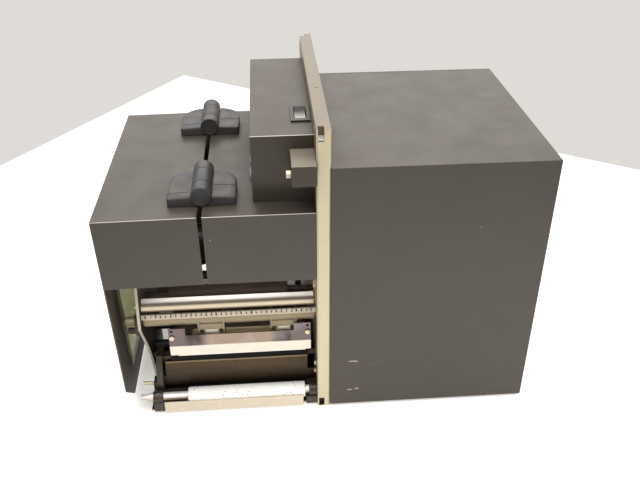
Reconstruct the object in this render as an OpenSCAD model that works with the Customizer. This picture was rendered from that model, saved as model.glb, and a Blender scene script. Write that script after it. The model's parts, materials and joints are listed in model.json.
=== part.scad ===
// Thermal label print engine: an aluminium support plate carries the print
// mechanism and a folding media cover on its left, and the electronics box
// on its right. Labels leave at the front (-Y). +X right, +Y back, +Z up.
// The origin is on the support plate's bottom face, midway through its
// thickness and 120 mm behind its front edge.

/* [Support plate] */
// Thickness of the support plate
plate_t = 12; // [10:0.5:14]
// Front face of the support plate
plate_front = -120; // [-120.5:0.1:-119.5]
// Back face of the support plate
plate_back = 136.5; // [134:0.5:140]
// Height of the support plate
plate_h = 294.5; // [293.5:0.5:305]
// Bevel of the plate's front edges
plate_bevel = 1.4; // [0.5:0.1:1.8]

/* [Electronics box] */
// Width of the electronics box beside the plate
box_w = 191.5; // [186:0.5:200]
// Top of the electronics box above the floor
box_top = 261; // [255:1:270]
// Front face of the electronics box
box_front = -120.6; // [-121:0.1:-120.1]
// Back face of the electronics box
box_back = 104.5; // [102:0.5:108]
// Thickness of the sheet metal
sheet = 1.5; // [1.2:0.1:1.6]
// Height of the rubber feet
foot_h = 2; // [1.5:0.5:3]

/* [Media cover] */
// Width of the cover from the plate to its outer face
cover_w = 188; // [186:1:192]
// Top of the media cover above the floor
cover_top = 219; // [217:1:221]
// Front face of the media cover
cover_front = -118; // [-119:0.5:-117]
// Back face of the media cover
cover_back = 112; // [110:0.5:114]
// Height of the lower edge of the front skirt
skirt_z = 151; // [145:1:155]
// Angle by which the closed door hangs below level
door_sag = 0.6; // [0:0.1:1]
// Angle by which the door's side panel leans inwards
door_lean = 0.6; // [0:0.1:0.8]

/* [Control box] */
// Width of the control box
control_w = 53; // [50:1:56]
// Top of the control box above the floor
control_top = 280; // [276:1:284]
// Front face of the control box
control_front = -95; // [-98:1:-92]
// Back face of the control box
control_back = 101; // [98:1:104]
// Travel of the keys
key_travel = 1.2; // [0.8:0.1:1.5]
// Angle that the power rocker leans either way
rocker_tilt = 8; // [6:1:10]

/* [Rollers] */
// Radius of the platen roller
platen_r = 10; // [9.5:0.1:10.2]
// Radius of the front liner roller
front_r = 7.75; // [7:0.05:7.9]
// Radius of the chromed guide roller
guide_r = 6.35; // [6:0.05:6.5]
// Radius of the ribbon roller
ribbon_r = 8; // [7:0.1:8.5]
// Radial running clearance of the shafts
run = 0.05; // [0.02:0.01:0.09]

/* [Hidden] */
$fn = 48;

// Faces of the support plate and the box
plate_l = -plate_t / 2;
plate_r = plate_t / 2;
box_right = plate_r + box_w;
notch_back = 8;          // depth of the corner notches, front to back
notch_l = -4.6;          // left wall of the corner notches
notch_r = 0.5;           // right wall of the corner notches
pocket_h = 10.4;         // top of the lower front pocket
groove_z = plate_h - 10.3;   // bottom of the groove below the front notch
fixing_ys = [-95, 95];   // clearance holes for M6 fixing screws
fixing_z = plate_h - 8;
fixing_r = 3.3;
foot_ys = [-90, 90];     // tapped holes in the bottom face
foot_r = 2.5;
foot_depth = 15;

// Media side: the plate that carries the outer ends of the rollers
side_out = -171.5;
side_in = -169;
bracket_l = [-165.5, -156];  // left and right roller brackets, from x to x
bracket_r = [-17, plate_l];
upright_l = -162;            // left face of the left bracket's upright

// Axes of everything that turns, as [y, z]
platen_ax = [-82, 39.5];
front_ax = [-110, 14.5];
pinch_ax = [-97.5, 10];
guide_ax = [-89, 110];
toggle_ax = [-88, 92];
ribbon_ax = [-62, 103];
supply_ax = [52, 150];
takeup_ax = [-44, 165];
head_ax = [-18, 70];
motor_ax = [-35, 95];
guide_rods = [[-50, 32], [-20, 32]];
sensor_rod = [-65, 30];
entry_rod = [60, 40];
fan_ax = [145, 220];     // x and z: the fan looks backwards

// Toothed belt drive
belt_l = 13;
belt_w = 8;
belt_t = 1.5;
belt_gap = 0.3;
motor_pulley_r = 5;
platen_pulley_r = 8;
front_pulley_r = 6;

// Door hinges
hinge_x = -102.5;
hinge_z = 228.4;
hinge_r = 8.9;
hinge_pin_r = 3;
hinge_len = 54.4;
hinge_mid = 24;          // length of the fixed middle knuckle
hinge_gap = 0.3;
hinge_ys = [-73, 75];
wing_out = 29.5;         // reach of a wing from the hinge axis
wing_len = 51.2;
wing_t = 9;
wing_root = 5;           // the wings stop short of the axis below the barrel
door_edge = -3.5;        // door's edge beside the split, from the hinge axis
fixed_edge = 0.5;        // fixed half's edge beside the split
cover_z = cover_top - hinge_z;
door_out = -cover_w + plate_l - hinge_x;

// Keys on the left face of the control box, [y, z]
key_h = 9;
key_d = 16;
key_gap = 0.4;
keys = [[-72, 234], [-46, 234], [-20, 234], [42, 234]];
window_y = [-24, 58];
window_z = [250, 270];
led_ys = [-80, -66, -52, -38];
led_z = 262;

// Power rocker
rocker_at = [-15.5, -51];
rocker_w = 10;
rocker_l = 23;
bezel_w = 17;
bezel_l = 34;

// ---------------------------------------------------------------- shapes

module block(x0, x1, y0, y1, z0, z1)
  translate([x0, y0, z0]) cube([x1 - x0, y1 - y0, z1 - z0]);

module rod_x(x0, x1, r, at)
  translate([x0, at[0], at[1]]) rotate([0, 90, 0]) cylinder(h = x1 - x0, r = r);

module rod_y(y0, y1, r, at)
  translate([at[0], y1, at[1]]) rotate([90, 0, 0]) cylinder(h = y1 - y0, r = r);

module rod_z(z0, z1, r, at)
  translate([at[0], at[1], z0]) cylinder(h = z1 - z0, r = r);

module tube_x(x0, x1, ro, ri, at)
  difference() {
    rod_x(x0, x1, ro, at);
    rod_x(x0 - 1, x1 + 1, ri, at);
  }

// Sheet-metal outline in the Y-Z plane, x0 to x1 wide
module profile_x(x0, x1, points)
  translate([x0, 0, 0]) rotate([90, 0, 90]) linear_extrude(x1 - x0) polygon(points);

// Quarter arc about x, y that starts in direction a0
function corner(x, y, r, a0) = [for (a = [0 : 15 : 90]) [x + r * cos(a0 + a), y + r * sin(a0 + a)]];

// Points of a rectangle with four round corners
function rounded(x0, x1, y0, y1, r) = concat(
  corner(x1 - r, y1 - r, r, 0), corner(x0 + r, y1 - r, r, 90),
  corner(x0 + r, y0 + r, r, 180), corner(x1 - r, y0 + r, r, 270));

// Hexagon-head screw along X, its head reaching from x0 to x1
module hex_x(x0, x1, r, at)
  translate([x0, at[0], at[1]]) rotate([0, 90, 0]) cylinder(h = x1 - x0, r = r, $fn = 6);

// ---------------------------------------------------- frame and electronics

module support_plate()
  color([0.85, 0.79, 0.66]) difference() {
    linear_extrude(plate_h) polygon([
      [plate_l, plate_back], [plate_l, plate_front + plate_bevel],
      [plate_l + plate_bevel, plate_front], [plate_r - plate_bevel, plate_front],
      [plate_r, plate_front + plate_bevel], [plate_r, plate_back]]);
    block(notch_l, notch_r, plate_front - 1, plate_front + notch_back,
          plate_h - notch_back, plate_h + 1);
    block(plate_l - 1, -notch_r, plate_back - notch_back, plate_back + 1,
          plate_h - notch_back, plate_h + 1);
    block(notch_l, notch_r, plate_front - 1, plate_front + 1, groove_z, groove_z + 1.2);
    block(notch_l, notch_r, plate_front - 1, plate_front + 4.5, 1.2, pocket_h);
    for (a = [platen_ax, supply_ax, takeup_ax]) rod_x(plate_l - 1, plate_r + 1, 8, a);
    rod_x(plate_l - 1, plate_r + 1, 5.5, front_ax);
    for (a = [guide_ax, ribbon_ax]) rod_x(plate_l - 1, 0, 3 + run, a);
    rod_x(plate_l - 1, 0, 4 + run, toggle_ax);
    for (y = fixing_ys) rod_x(plate_l - 1, plate_r + 1, fixing_r, [y, fixing_z]);
    for (y = foot_ys) rod_z(-1, foot_depth, foot_r, [0, y]);
    rod_z(plate_h - 12, plate_h + 1, 1.6, [1, -26]);
  }

module enclosure_cover()
  color([0.28, 0.27, 0.26]) difference() {
    block(plate_r, box_right, box_front, box_back, foot_h, box_top);
    block(plate_r - 1, box_right - sheet, box_front + sheet, box_back + 1,
          foot_h + sheet, box_top - sheet);
  }

vent_zs = [for (i = [0 : 9]) 100 + 8 * i];
inlet_x = [62, 89];
inlet_z = [24, 44];
port_row = [[22, 30, 12], [96, 34, 12], [138, 14, 12], [160, 16, 14]]; // x, width, height
port_z = 60;

module rear_panel()
  color([0.28, 0.27, 0.26]) difference() {
    block(plate_r, box_right, box_back, box_back + sheet, foot_h, box_top);
    block(inlet_x[0], inlet_x[1], box_back - 1, box_back + 3, inlet_z[0], inlet_z[1]);
    for (p = port_row)
      block(p[0], p[0] + p[1], box_back - 1, box_back + 3, port_z, port_z + p[2]);
    rod_y(box_back - 1, box_back + 3, 27, fan_ax);
    for (z = vent_zs) block(30, 90, box_back - 1, box_back + 3, z, z + 3);
  }

module power_inlet()
  color([0.1, 0.1, 0.1]) {
    difference() {
      union() {
        block(inlet_x[0], inlet_x[1], box_back - 22, box_back + sheet, inlet_z[0], inlet_z[1]);
        block(inlet_x[0] - 11, inlet_x[1] + 11, box_back + sheet, box_back + sheet + 2,
              inlet_z[0] - 3, inlet_z[1] + 3);
      }
      block(inlet_x[0] + 2, inlet_x[1] - 2, box_back - 16, box_back + 5,
            inlet_z[0] + 2.5, inlet_z[1] - 2.5);
    }
    for (x = [-7, 0, 7])
      block((inlet_x[0] + inlet_x[1]) / 2 + x - 1, (inlet_x[0] + inlet_x[1]) / 2 + x + 1,
            box_back - 16.5, box_back - 2, 33 - 2, 33 + 2);
  }

module data_ports()
  color([0.5, 0.5, 0.52]) for (p = port_row) difference() {
    block(p[0], p[0] + p[1], box_back - 14, box_back + sheet + 1, port_z, port_z + p[2]);
    block(p[0] + 1.5, p[0] + p[1] - 1.5, box_back - 8, box_back + 5,
          port_z + 1.5, port_z + p[2] - 1.5);
  }

fan_half = 30;
fan_t = 20;
module fan_frame()
  color([0.12, 0.12, 0.12]) difference() {
    block(fan_ax[0] - fan_half, fan_ax[0] + fan_half, box_back - fan_t, box_back,
          fan_ax[1] - fan_half, fan_ax[1] + fan_half);
    difference() {
      rod_y(box_back - fan_t - 1, box_back + 1, 28, fan_ax);
      rod_y(box_back - fan_t, box_back - fan_t + 3, 11, fan_ax);
      rod_y(box_back - fan_t, box_back - 4, 2, fan_ax);
      for (a = [45, 135])
        translate([fan_ax[0], 0, fan_ax[1]]) rotate([0, a, 0])
          block(-29, 29, box_back - fan_t, box_back - fan_t + 3, -2, 2);
    }
  }

module fan_rotor()
  color([0.15, 0.15, 0.15]) difference() {
    union() {
      rod_y(box_back - fan_t + 4, box_back - 3, 12, fan_ax);
      for (i = [0 : 6])
        translate([fan_ax[0], box_back - 10, fan_ax[1]]) rotate([0, i * 360 / 7, 0])
          translate([10, 0, 0]) rotate([35, 0, 0])
            translate([0, -6, -1]) cube([16.5, 12, 2]);
    }
    rod_y(box_back - fan_t + 3, box_back - 4 + run, 2 + run, fan_ax);
  }

module rubber_feet()
  color([0.1, 0.1, 0.1]) for (x = [30, 175]) for (y = [-100, 84])
    rod_z(0, foot_h, 9, [x, y]);

board_x = 150;
module main_board() {
  color([0.1, 0.35, 0.2]) block(board_x, board_x + 1.6, -104, 74, 16, 206);
  color([0.2, 0.2, 0.2]) {
    block(board_x - 2.6, board_x, -40, -10, 120, 150);
    block(board_x - 2.6, board_x, 6, 24, 124, 140);
    block(board_x - 2.6, board_x, 6, 24, 150, 166);
    block(board_x - 12, board_x, -96, -88, 60, 110);
    block(board_x - 12, board_x, -60, -10, 20, 28);
    for (z = [60, 80, 100]) translate([board_x - 11, 50, z]) rotate([0, 90, 0])
      cylinder(h = 11, r = 6);
  }
  color("silver") for (y = [-98, 68]) for (z = [22, 200])
    rod_x(board_x + 1.6, box_right - sheet, 3, [y, z]);
}

module power_supply()
  color([0.6, 0.6, 0.62]) {
    difference() {
      block(88, 138, -100, 60, foot_h + sheet, 120);
      block(89.2, 136.8, -98.8, 58.8, foot_h + sheet + 1.2, 118.8);
    }
    block(95, 131, -80, -40, foot_h + sheet + 1.2, 60);
    block(95, 131, -10, 40, foot_h + sheet + 1.2, 40);
  }

motor_face = 33;
motor_half = 28.2;
motor_len = 51;
standoffs = [for (c = [[1, 1], [1, -1], [-1, 1]]) [motor_ax[0] + 30 * c[0], motor_ax[1] + 30 * c[1]]];

module motor_bracket()
  color([0.7, 0.7, 0.7]) difference() {
    union() {
      block(motor_face - 3, motor_face, motor_ax[0] - 36, motor_ax[0] + 36,
            motor_ax[1] - 36, motor_ax[1] + 36);
      for (p = standoffs) rod_x(plate_r, motor_face - 3, 4, p);
    }
    rod_x(motor_face - 4, motor_face + 1, 19, motor_ax);
  }

module platen_motor()
  color([0.15, 0.15, 0.16]) difference() {
    union() {
      block(motor_face, motor_face + motor_len, motor_ax[0] - motor_half,
            motor_ax[0] + motor_half, motor_ax[1] - motor_half, motor_ax[1] + motor_half);
      rod_x(motor_face - 2, motor_face, 18.5, motor_ax);
    }
    rod_x(motor_face - 3, motor_face + 20, 3.2 + run, motor_ax);
  }

// Toothed pulley with two flanges, bored for its shaft
module pulley(r, bore, at)
  difference() {
    union() {
      rod_x(belt_l - 0.5, belt_l + belt_w + 0.5, r, at);
      for (x = [belt_l - 2, belt_l + belt_w + 0.5]) rod_x(x, x + 1.5, r + 2.4, at);
    }
    rod_x(0, 40, bore, at);
  }

module motor_pulley()
  color([0.75, 0.75, 0.78]) {
    pulley(motor_pulley_r, 3.2, motor_ax);
    rod_x(belt_l - 3, motor_face + 18, 3.2, motor_ax);
  }

module belt_path(grow)
  hull() {
    translate(motor_ax) circle(motor_pulley_r + grow);
    translate(platen_ax) circle(platen_pulley_r + grow);
    translate(front_ax) circle(front_pulley_r + grow);
  }

module drive_belt()
  color([0.08, 0.08, 0.08]) translate([belt_l, 0, 0]) rotate([90, 0, 90])
    linear_extrude(belt_w) difference() {
      belt_path(belt_gap + belt_t);
      belt_path(belt_gap);
    }

// Gear motor of a ribbon spindle, on the back of the support plate
module spindle_motor(at)
  difference() {
    union() {
      rod_x(plate_r, plate_r + 4, 24, at);
      rod_x(plate_r + 4, plate_r + 26, 21, at);
      rod_x(plate_r + 26, plate_r + 66, 17, at);
    }
    rod_x(plate_r - 1, plate_r + 30, 4 + run, at);
  }

module supply_motor() color([0.6, 0.6, 0.62]) spindle_motor(supply_ax);
module takeup_motor() color([0.6, 0.6, 0.62]) spindle_motor(takeup_ax);

module wiring_harness()
  color([0.15, 0.15, 0.5]) {
    rod_x(138, board_x, 3, [-75, 70]);
    rod_z(120, 170, 4, [110, 20]);
    rod_x(110, board_x, 4, [20, 172]);
  }

// ------------------------------------------------- covers and control box

back_z = 26;             // lower edge of the cover's back wall
module fixed_cover()
  color([0.28, 0.27, 0.26]) difference() {
    block(hinge_x + fixed_edge, plate_l, cover_front, cover_back, back_z, cover_top);
    block(hinge_x, plate_l - sheet, cover_front + sheet, cover_back - sheet,
          back_z - 1, cover_top - sheet);
    block(hinge_x, plate_l + 1, cover_front - 1, 0, back_z - 1, skirt_z);
    block(plate_l - sheet - 1, plate_l + 1, cover_front + sheet, cover_back - sheet,
          back_z - 1, cover_top - 14);
  }

module control_box()
  color([0.26, 0.25, 0.24]) difference() {
    block(plate_l - control_w, plate_l, control_front, control_back, cover_top, control_top);
    block(plate_l - control_w + sheet, plate_l + 1, control_front + sheet,
          control_back - sheet, cover_top - 1, control_top - sheet);
    for (k = keys) block(plate_l - control_w - 1, plate_l - control_w + 3,
      k[0] - key_d / 2 - key_gap, k[0] + key_d / 2 + key_gap,
      k[1] - key_h / 2 - key_gap, k[1] + key_h / 2 + key_gap);
    block(plate_l - control_w - 1, plate_l - control_w + 3, window_y[0], window_y[1],
          window_z[0], window_z[1]);
    for (y = led_ys) rod_x(plate_l - control_w - 1, plate_l - control_w + 3, 1.8, [y, led_z]);
    block(rocker_at[0] - 7, rocker_at[0] + 7, rocker_at[1] - 15.5, rocker_at[1] + 15.5,
          control_top - 3, control_top + 1);
  }

control_l = plate_l - control_w;
module display_window()
  color([0.5, 0.6, 0.5, 0.5])
    block(control_l + sheet, control_l + sheet + 1.5, window_y[0] - 3, window_y[1] + 3,
          window_z[0] - 3, window_z[1] + 3);

module display_module() {
  color([0.1, 0.3, 0.2])
    block(control_l + 9.5, control_l + 11, -88, 70, 226, 275);
  color([0.3, 0.35, 0.3])
    block(control_l + sheet + 1.5, control_l + 9.5, window_y[0] - 3, window_y[1] + 3,
          window_z[0] - 3, window_z[1] + 3);
  color([0.2, 0.2, 0.2]) for (k = keys)
    block(control_l + 6.5, control_l + 9.5, k[0] - 3, k[0] + 3, k[1] - 3, k[1] + 3);
  color([0.2, 0.7, 0.3]) for (y = led_ys)
    rod_x(control_l - 0.4, control_l + 9.5, 1.6, [y, led_z]);
  color("silver") for (y = [-84, 66])
    rod_x(control_l + sheet, control_l + 9.5, 2, [y, 230]);
}

// One key: the cap passes the box wall, the flange behind keeps it in
module key(i)
  color([0.35, 0.36, 0.38]) {
    profile_x(control_l - 1.8, control_l + sheet + 0.3,
      rounded(keys[i][0] - key_d / 2, keys[i][0] + key_d / 2,
              keys[i][1] - key_h / 2, keys[i][1] + key_h / 2, 2.5));
    block(control_l + sheet + 0.3, control_l + sheet + 1.3, keys[i][0] - key_d / 2 - 2,
          keys[i][0] + key_d / 2 + 2, keys[i][1] - key_h / 2 - 1.5, keys[i][1] + key_h / 2 + 1.5);
    block(control_l + sheet + 1.3, control_l + 6.5 - key_travel - 0.2, keys[i][0] - 1.5,
          keys[i][0] + 1.5, keys[i][1] - 1.5, keys[i][1] + 1.5);
  }
module pause_key() key(0);
module feed_key() key(1);
module cancel_key() key(2);
module menu_key() key(3);

module switch_bezel()
  color([0.1, 0.1, 0.1]) difference() {
    union() {
      block(rocker_at[0] - bezel_w / 2, rocker_at[0] + bezel_w / 2, rocker_at[1] - bezel_l / 2,
            rocker_at[1] + bezel_l / 2, control_top, control_top + 1.5);
      block(rocker_at[0] - 7, rocker_at[0] + 7, rocker_at[1] - 15.5, rocker_at[1] + 15.5,
            control_top - 16, control_top);
    }
    block(rocker_at[0] - rocker_w / 2 - 0.5, rocker_at[0] + rocker_w / 2 + 0.5,
          rocker_at[1] - rocker_l / 2 - 1, rocker_at[1] + rocker_l / 2 + 1,
          control_top - 12, control_top + 2);
    rod_x(rocker_at[0] - 6.5, rocker_at[0] + 6.5, 1.5 + run, [rocker_at[1], control_top - 3]);
  }

// Rocker, pressed at the front and raised at the back
module power_rocker()
  color([0.15, 0.15, 0.15])
    translate([0, rocker_at[1], control_top - 3]) rotate([rocker_tilt, 0, 0]) {
      profile_x(rocker_at[0] - rocker_w / 2, rocker_at[0] + rocker_w / 2, [
        [-rocker_l / 2, 1], [-4, -3.5], [4, -3.5], [rocker_l / 2, 1],
        [rocker_l / 2 - 0.6, 5.6], [0, 3.2], [-rocker_l / 2 + 0.6, 5.6]]);
      rod_x(rocker_at[0] - 6.3, rocker_at[0] + 6.3, 1.5, [0, 0]);
    }

bracket_w = 20.5;
bracket_front = -130;
bracket_z = [250, 268];
module front_bracket()
  color([0.3, 0.29, 0.27]) difference() {
    block(plate_l - bracket_w, plate_l, bracket_front, control_front, bracket_z[0], bracket_z[1]);
    block(plate_l - bracket_w + sheet, plate_l + 1, bracket_front + sheet, control_front + 1,
          bracket_z[0] - 1, bracket_z[1] - sheet);
  }

module case_screws()
  color([0.75, 0.73, 0.7]) {
    hex_x(plate_l - bracket_w - 4, plate_l - bracket_w, 3.6, [-118, 256]);
    rod_x(plate_l - 2, plate_l, 3.4, [-93.6, 129.3]);
    for (p = [[-100.6, 39.5], [-99.6, 28.8]]) rod_x(plate_l - 2, plate_l, 2.2, p);
    rod_x(-177, bracket_l[0], 1.8, [-96, 20]);
    for (p = [head_ax, guide_rods[0], guide_rods[1]]) rod_x(side_out - 2, side_out, 3.5, p);
    for (x = [plate_r + 8, box_right - 8]) for (z = [foot_h + 10, box_top - 8])
      rod_y(box_back + sheet, box_back + sheet + 1, 3, [x, z]);
    for (x = [-45, -20]) rod_y(control_back, control_back + 1.6, 3, [x, 250]);
  }

// ---------------------------------------------------------- print mechanism

side_outline = [
  [-93, 137], [-97, 123], [-102, 106], [-104, 93], [-96, 79], [-80, 52], [-72, 33],
  [-63, 7], [-62, 0], [-4, 0], [-4, 84], [-40, 128], [-52, 142], [-84, 144]];

module side_plate()
  color([0.2, 0.19, 0.18]) difference() {
    profile_x(side_out, side_in, side_outline);
    for (a = [guide_ax, ribbon_ax]) rod_x(side_out - 1, side_in + 1, 3 + run, a);
    rod_x(side_out - 1, side_in + 1, 4 + run, toggle_ax);
  }

// Base sheet, with a raised lip in front of the front roller
module base_tray()
  color([0.83, 0.78, 0.69]) {
    profile_x(-155, -20, [
      [-119.6, 14.7], [-119.6, 3], [-115.5, 3], [-115.5, 0], [-114, 0],
      [-114, 4.2], [-118.2, 4.2], [-118.2, 14.7]]);
    block(side_in, plate_l, -114, -10, 0, sheet);
    block(-163, plate_l, -10, 104, 0, sheet);
  }

peel_x = [-153.5, -14.5];
module peel_plate()
  color([0.29, 0.25, 0.21]) {
    profile_x(peel_x[0], peel_x[1], [
      [-92.8, 43.6], [-95.2, 39.5], [-98.2, 17], [-96.7, 17], [-93.8, 39], [-92.3, 42.4]]);
    for (x = [[bracket_l[1], peel_x[0]], [peel_x[1], plate_l]])
      profile_x(x[0], x[1], [[-96.8, 29], [-98, 19], [-96.5, 19], [-95.3, 29]]);
  }

tick_pitch = 4.6;
module static_brush()
  color([0.8, 0.74, 0.6]) {
    block(side_in, plate_l, -96, -94.5, 98, 103.4);
    for (i = [0 : 33]) translate([-163 + i * tick_pitch, 0, 0])
      block(0, 1.1, -96.6, -96, 100.4, 103.8);
  }

module cross_rods()
  color([0.7, 0.7, 0.7]) {
    for (p = concat([head_ax], guide_rods)) rod_x(side_in, plate_l, 4, p);
    rod_x(side_in, plate_l, 2.5, sensor_rod);
    rod_x(-150, plate_l, 5, entry_rod);
    rod_x(-153, -150, 14, entry_rod);
  }

// Rings that the shafts run in, let into the two plates
module shaft_bearings()
  color([0.8, 0.79, 0.76]) {
    for (a = [platen_ax, supply_ax, takeup_ax]) tube_x(plate_l, plate_r, 8, 4 + run, a);
    tube_x(plate_l, plate_r, 5.5, 4 + run, front_ax);
    tube_x(bracket_l[0], bracket_l[1], 5.5, 4 + run, front_ax);
    tube_x(upright_l, bracket_l[1], 5.5, 4 + run, platen_ax);
  }

// Brackets at both ends of the rollers. The left one has an upright that
// carries the platen.
module roller_brackets()
  color([0.42, 0.37, 0.3]) difference() {
    union() {
      block(bracket_l[0], bracket_l[1], -117, -93, sheet, 12.5);
      block(bracket_l[0], bracket_l[1], -104, -93, sheet, 27);
      rod_x(bracket_l[0], bracket_l[1], 6.5, front_ax);
      profile_x(upright_l, bracket_l[1], [
        [-104, sheet], [-104, 27], [-92, 50], [-75, 50], [-75, sheet]]);
      block(bracket_r[0], bracket_r[1], -117, -93, sheet, 10);
      block(bracket_r[0], bracket_r[1], -103, -93, sheet, 15.5);
      rod_x(bracket_r[0] + 3, bracket_r[1], 6.5, front_ax);
    }
    rod_x(bracket_l[0] - 1, bracket_l[1] + 1, 5.5, front_ax);
    rod_x(upright_l - 1, bracket_l[1] + 1, 5.5, platen_ax);
    rod_x(bracket_r[0] - 1, bracket_r[1] + 1, 4 + run, front_ax);
    rod_x(-161, -12, 2.5 + run, pinch_ax);
  }

// ------------------------------------------------------------------ rollers

module platen_shaft()
  color([0.8, 0.8, 0.8]) {
    rod_x(upright_l - 1.5, belt_l + belt_w + 4, 4, platen_ax);
    rod_x(-149, -13, 6, platen_ax);
  }
module platen_roller()
  color([0.08, 0.08, 0.08]) tube_x(-148, -14, platen_r, 6, platen_ax);
module platen_pulley() color([0.75, 0.75, 0.78]) pulley(platen_pulley_r, 4, platen_ax);

module front_shaft()
  color([0.85, 0.85, 0.86]) difference() {
    union() {
      rod_x(-172, belt_l + belt_w + 4, 4, front_ax);
      rod_x(-178, -171, 3, front_ax);
      rod_x(-168, bracket_l[0] - 0.4, 5, front_ax);
    }
    rod_x(-179, -175, 1.5, front_ax);
  }
module front_roller()
  color([0.97, 0.96, 0.94]) tube_x(-132, -18, front_r, 4, front_ax);
module front_pulley() color([0.75, 0.75, 0.78]) pulley(front_pulley_r, 4, front_ax);

module pinch_roller()
  color([0.12, 0.12, 0.12]) {
    rod_x(-160.5, -12.5, 2.5, pinch_ax);
    rod_x(-130, -22, 5, pinch_ax);
  }

module guide_roller()
  color([0.85, 0.85, 0.86]) {
    rod_x(side_in + 0.3, plate_l - 0.8, guide_r, guide_ax);
    rod_x(-174.8, -1, 3, guide_ax);
  }

module ribbon_roller()
  color([0.2, 0.17, 0.15]) {
    rod_x(-146, -31, ribbon_r, ribbon_ax);
    rod_x(side_out - 1, -1, 3, ribbon_ax);
  }

// Ribbon spindle: shaft, hub with three drive ribs, and an inner flange
module spindle(at) {
  rod_x(-152, plate_r + 28, 4, at);
  rod_x(-150, -12, 11, at);
  rod_x(-12, -9, 22, at);
  for (a = [0 : 120 : 240])
    translate([0, at[0], at[1]]) rotate([a, 0, 0]) block(-148, -11.5, 10, 12.4, -1.5, 1.5);
}
module supply_spindle() color([0.25, 0.25, 0.26]) spindle(supply_ax);
module takeup_spindle() color([0.25, 0.25, 0.26]) spindle(takeup_ax);

// --------------------------------------------------------------- print head

toggle_xs = [-105.4, -36.5];
foot_drop = 19;          // reach of a toggle's foot below the toggle shaft
foot_round = 6;
module toggle_shaft()
  color([0.67, 0.61, 0.51]) {
    rod_x(side_in + 0.8, plate_l - 0.8, 6, toggle_ax);
    rod_x(-185.8, side_out - 5.1, 4.5, toggle_ax);
    rod_x(-177, -1, 4, toggle_ax);
  }

module toggle_lever()
  color([0.2, 0.18, 0.16]) {
    difference() {
      profile_x(side_out - 5, side_out - 1.5, [
        for (a = [0 : 15 : 180]) toggle_ax + 6.5 * [cos(a), sin(a)],
        toggle_ax + [-7, -7], toggle_ax + [-6, -14], toggle_ax + [2, -14]]);
      rod_x(-180, -160, 4, toggle_ax);
    }
    rod_x(-184, side_out - 5, 3.2, toggle_ax + [-2, -10]);
  }

module toggles()
  color([0.72, 0.65, 0.54]) for (x = toggle_xs) {
    difference() {
      union() {
        for (s = [-12.6, 11.1])
          profile_x(x + s, x + s + 1.5, [
            for (a = [0 : 15 : 180]) toggle_ax + 7 * [cos(a), sin(a)],
            toggle_ax + [-6, -15.5], toggle_ax + [6, -15.5]]);
        block(x - 11.1, x + 11.1, toggle_ax[0] - 5.5, toggle_ax[0] + 5.5,
              toggle_ax[1] - 10, toggle_ax[1] - 4);
      }
      rod_x(x - 20, x + 20, 6, toggle_ax);
    }
    intersection() {
      rod_z(toggle_ax[1] - foot_drop, toggle_ax[1] - 9.9, 8, [x, toggle_ax[0]]);
      union() {
        rod_x(x - 9, x + 9, foot_round, toggle_ax - [0, foot_drop - foot_round]);
        block(x - 9, x + 9, toggle_ax[0] - foot_round, toggle_ax[0] + foot_round,
              toggle_ax[1] - foot_drop + foot_round, toggle_ax[1] - 9.9);
      }
    }
  }

head_x = [-146, -11];
carrier_top = 68;
bar_top = 72.4;
guard_y = -98.5;         // front face of the guard's lower strip
guard_z = [56, 67, 79, 87];  // bottom, fold, top and top of the ears
guard_lean = 3.5;
guard_t = 1;
ear_w = 16;
function guard_front(z) = guard_y + max(0, z - guard_z[1]) * tan(guard_lean);

module head_carrier()
  color([0.16, 0.15, 0.15]) difference() {
    union() {
      block(head_x[0] + 5, head_x[1] - 5, guard_y + guard_t, -26, carrier_top - 6, guard_z[1]);
      block(head_x[0] + 5, head_x[1] - 5, -92, -26, carrier_top - 6, carrier_top);
      block(-125, -25, -94, -80, carrier_top - 1, bar_top);
      for (x = [head_x[0] + 5, head_x[1] - 11])
        block(x, x + 6, -27, head_ax[0] + 8, carrier_top - 6, head_ax[1] + 8);
      for (x = [head_x[0] + 1, head_x[1] - 5])
        profile_x(x, x + 4, [
          [guard_y + guard_t, carrier_top - 6], [guard_y + guard_t, guard_z[1]],
          [guard_front(81) + guard_t, 81], [-80, 81], [-80, carrier_top - 6]]);
    }
    rod_x(-150, -8, 4 + run, head_ax);
  }

module print_head() {
  color([0.62, 0.62, 0.64])
    block(head_x[0] + 7, head_x[1] - 5, guard_y + guard_t, -48, 54, carrier_top - 6);
  color([0.85, 0.83, 0.75])
    block(head_x[0] + 9, head_x[1] - 7, -91, -66, 50.2, 54);
}

module guard_strip(x0, x1, z0, z1)
  profile_x(x0, x1, [
    [guard_front(z0), z0], [guard_front(z1), z1],
    [guard_front(z1) + guard_t, z1], [guard_front(z0) + guard_t, z0]]);

module head_guard()
  color([0.78, 0.75, 0.72]) difference() {
    union() {
      guard_strip(head_x[0], head_x[1], guard_z[0], guard_z[1]);
      guard_strip(head_x[0], head_x[1], guard_z[1], guard_z[2]);
      for (x = [head_x[0], head_x[1] - ear_w])
        guard_strip(x, x + ear_w, guard_z[2], guard_z[3]);
    }
    for (x = [head_x[0] + 3, head_x[1] - 3])
      rod_y(guard_y - 1, guard_y + 5, 1.3, [x, guard_z[3] - 3]);
  }

module head_screws()
  color([0.8, 0.78, 0.74]) for (x = [head_x[0] + 3, head_x[1] - 3])
    translate([x, guard_front(77), 77]) rotate([90 - guard_lean, 0, 0])
      cylinder(h = 1.8, r = 2.4);

guide_at = -60;
module media_guide()
  color([0.3, 0.3, 0.3]) difference() {
    union() {
      block(guide_at, guide_at + 10, -57, -13, 26, 38);
      block(guide_at, guide_at + 2, -68, -13, 36, 46);
    }
    for (p = guide_rods) rod_x(guide_at - 1, guide_at + 11, 4 + run, p);
  }

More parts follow.
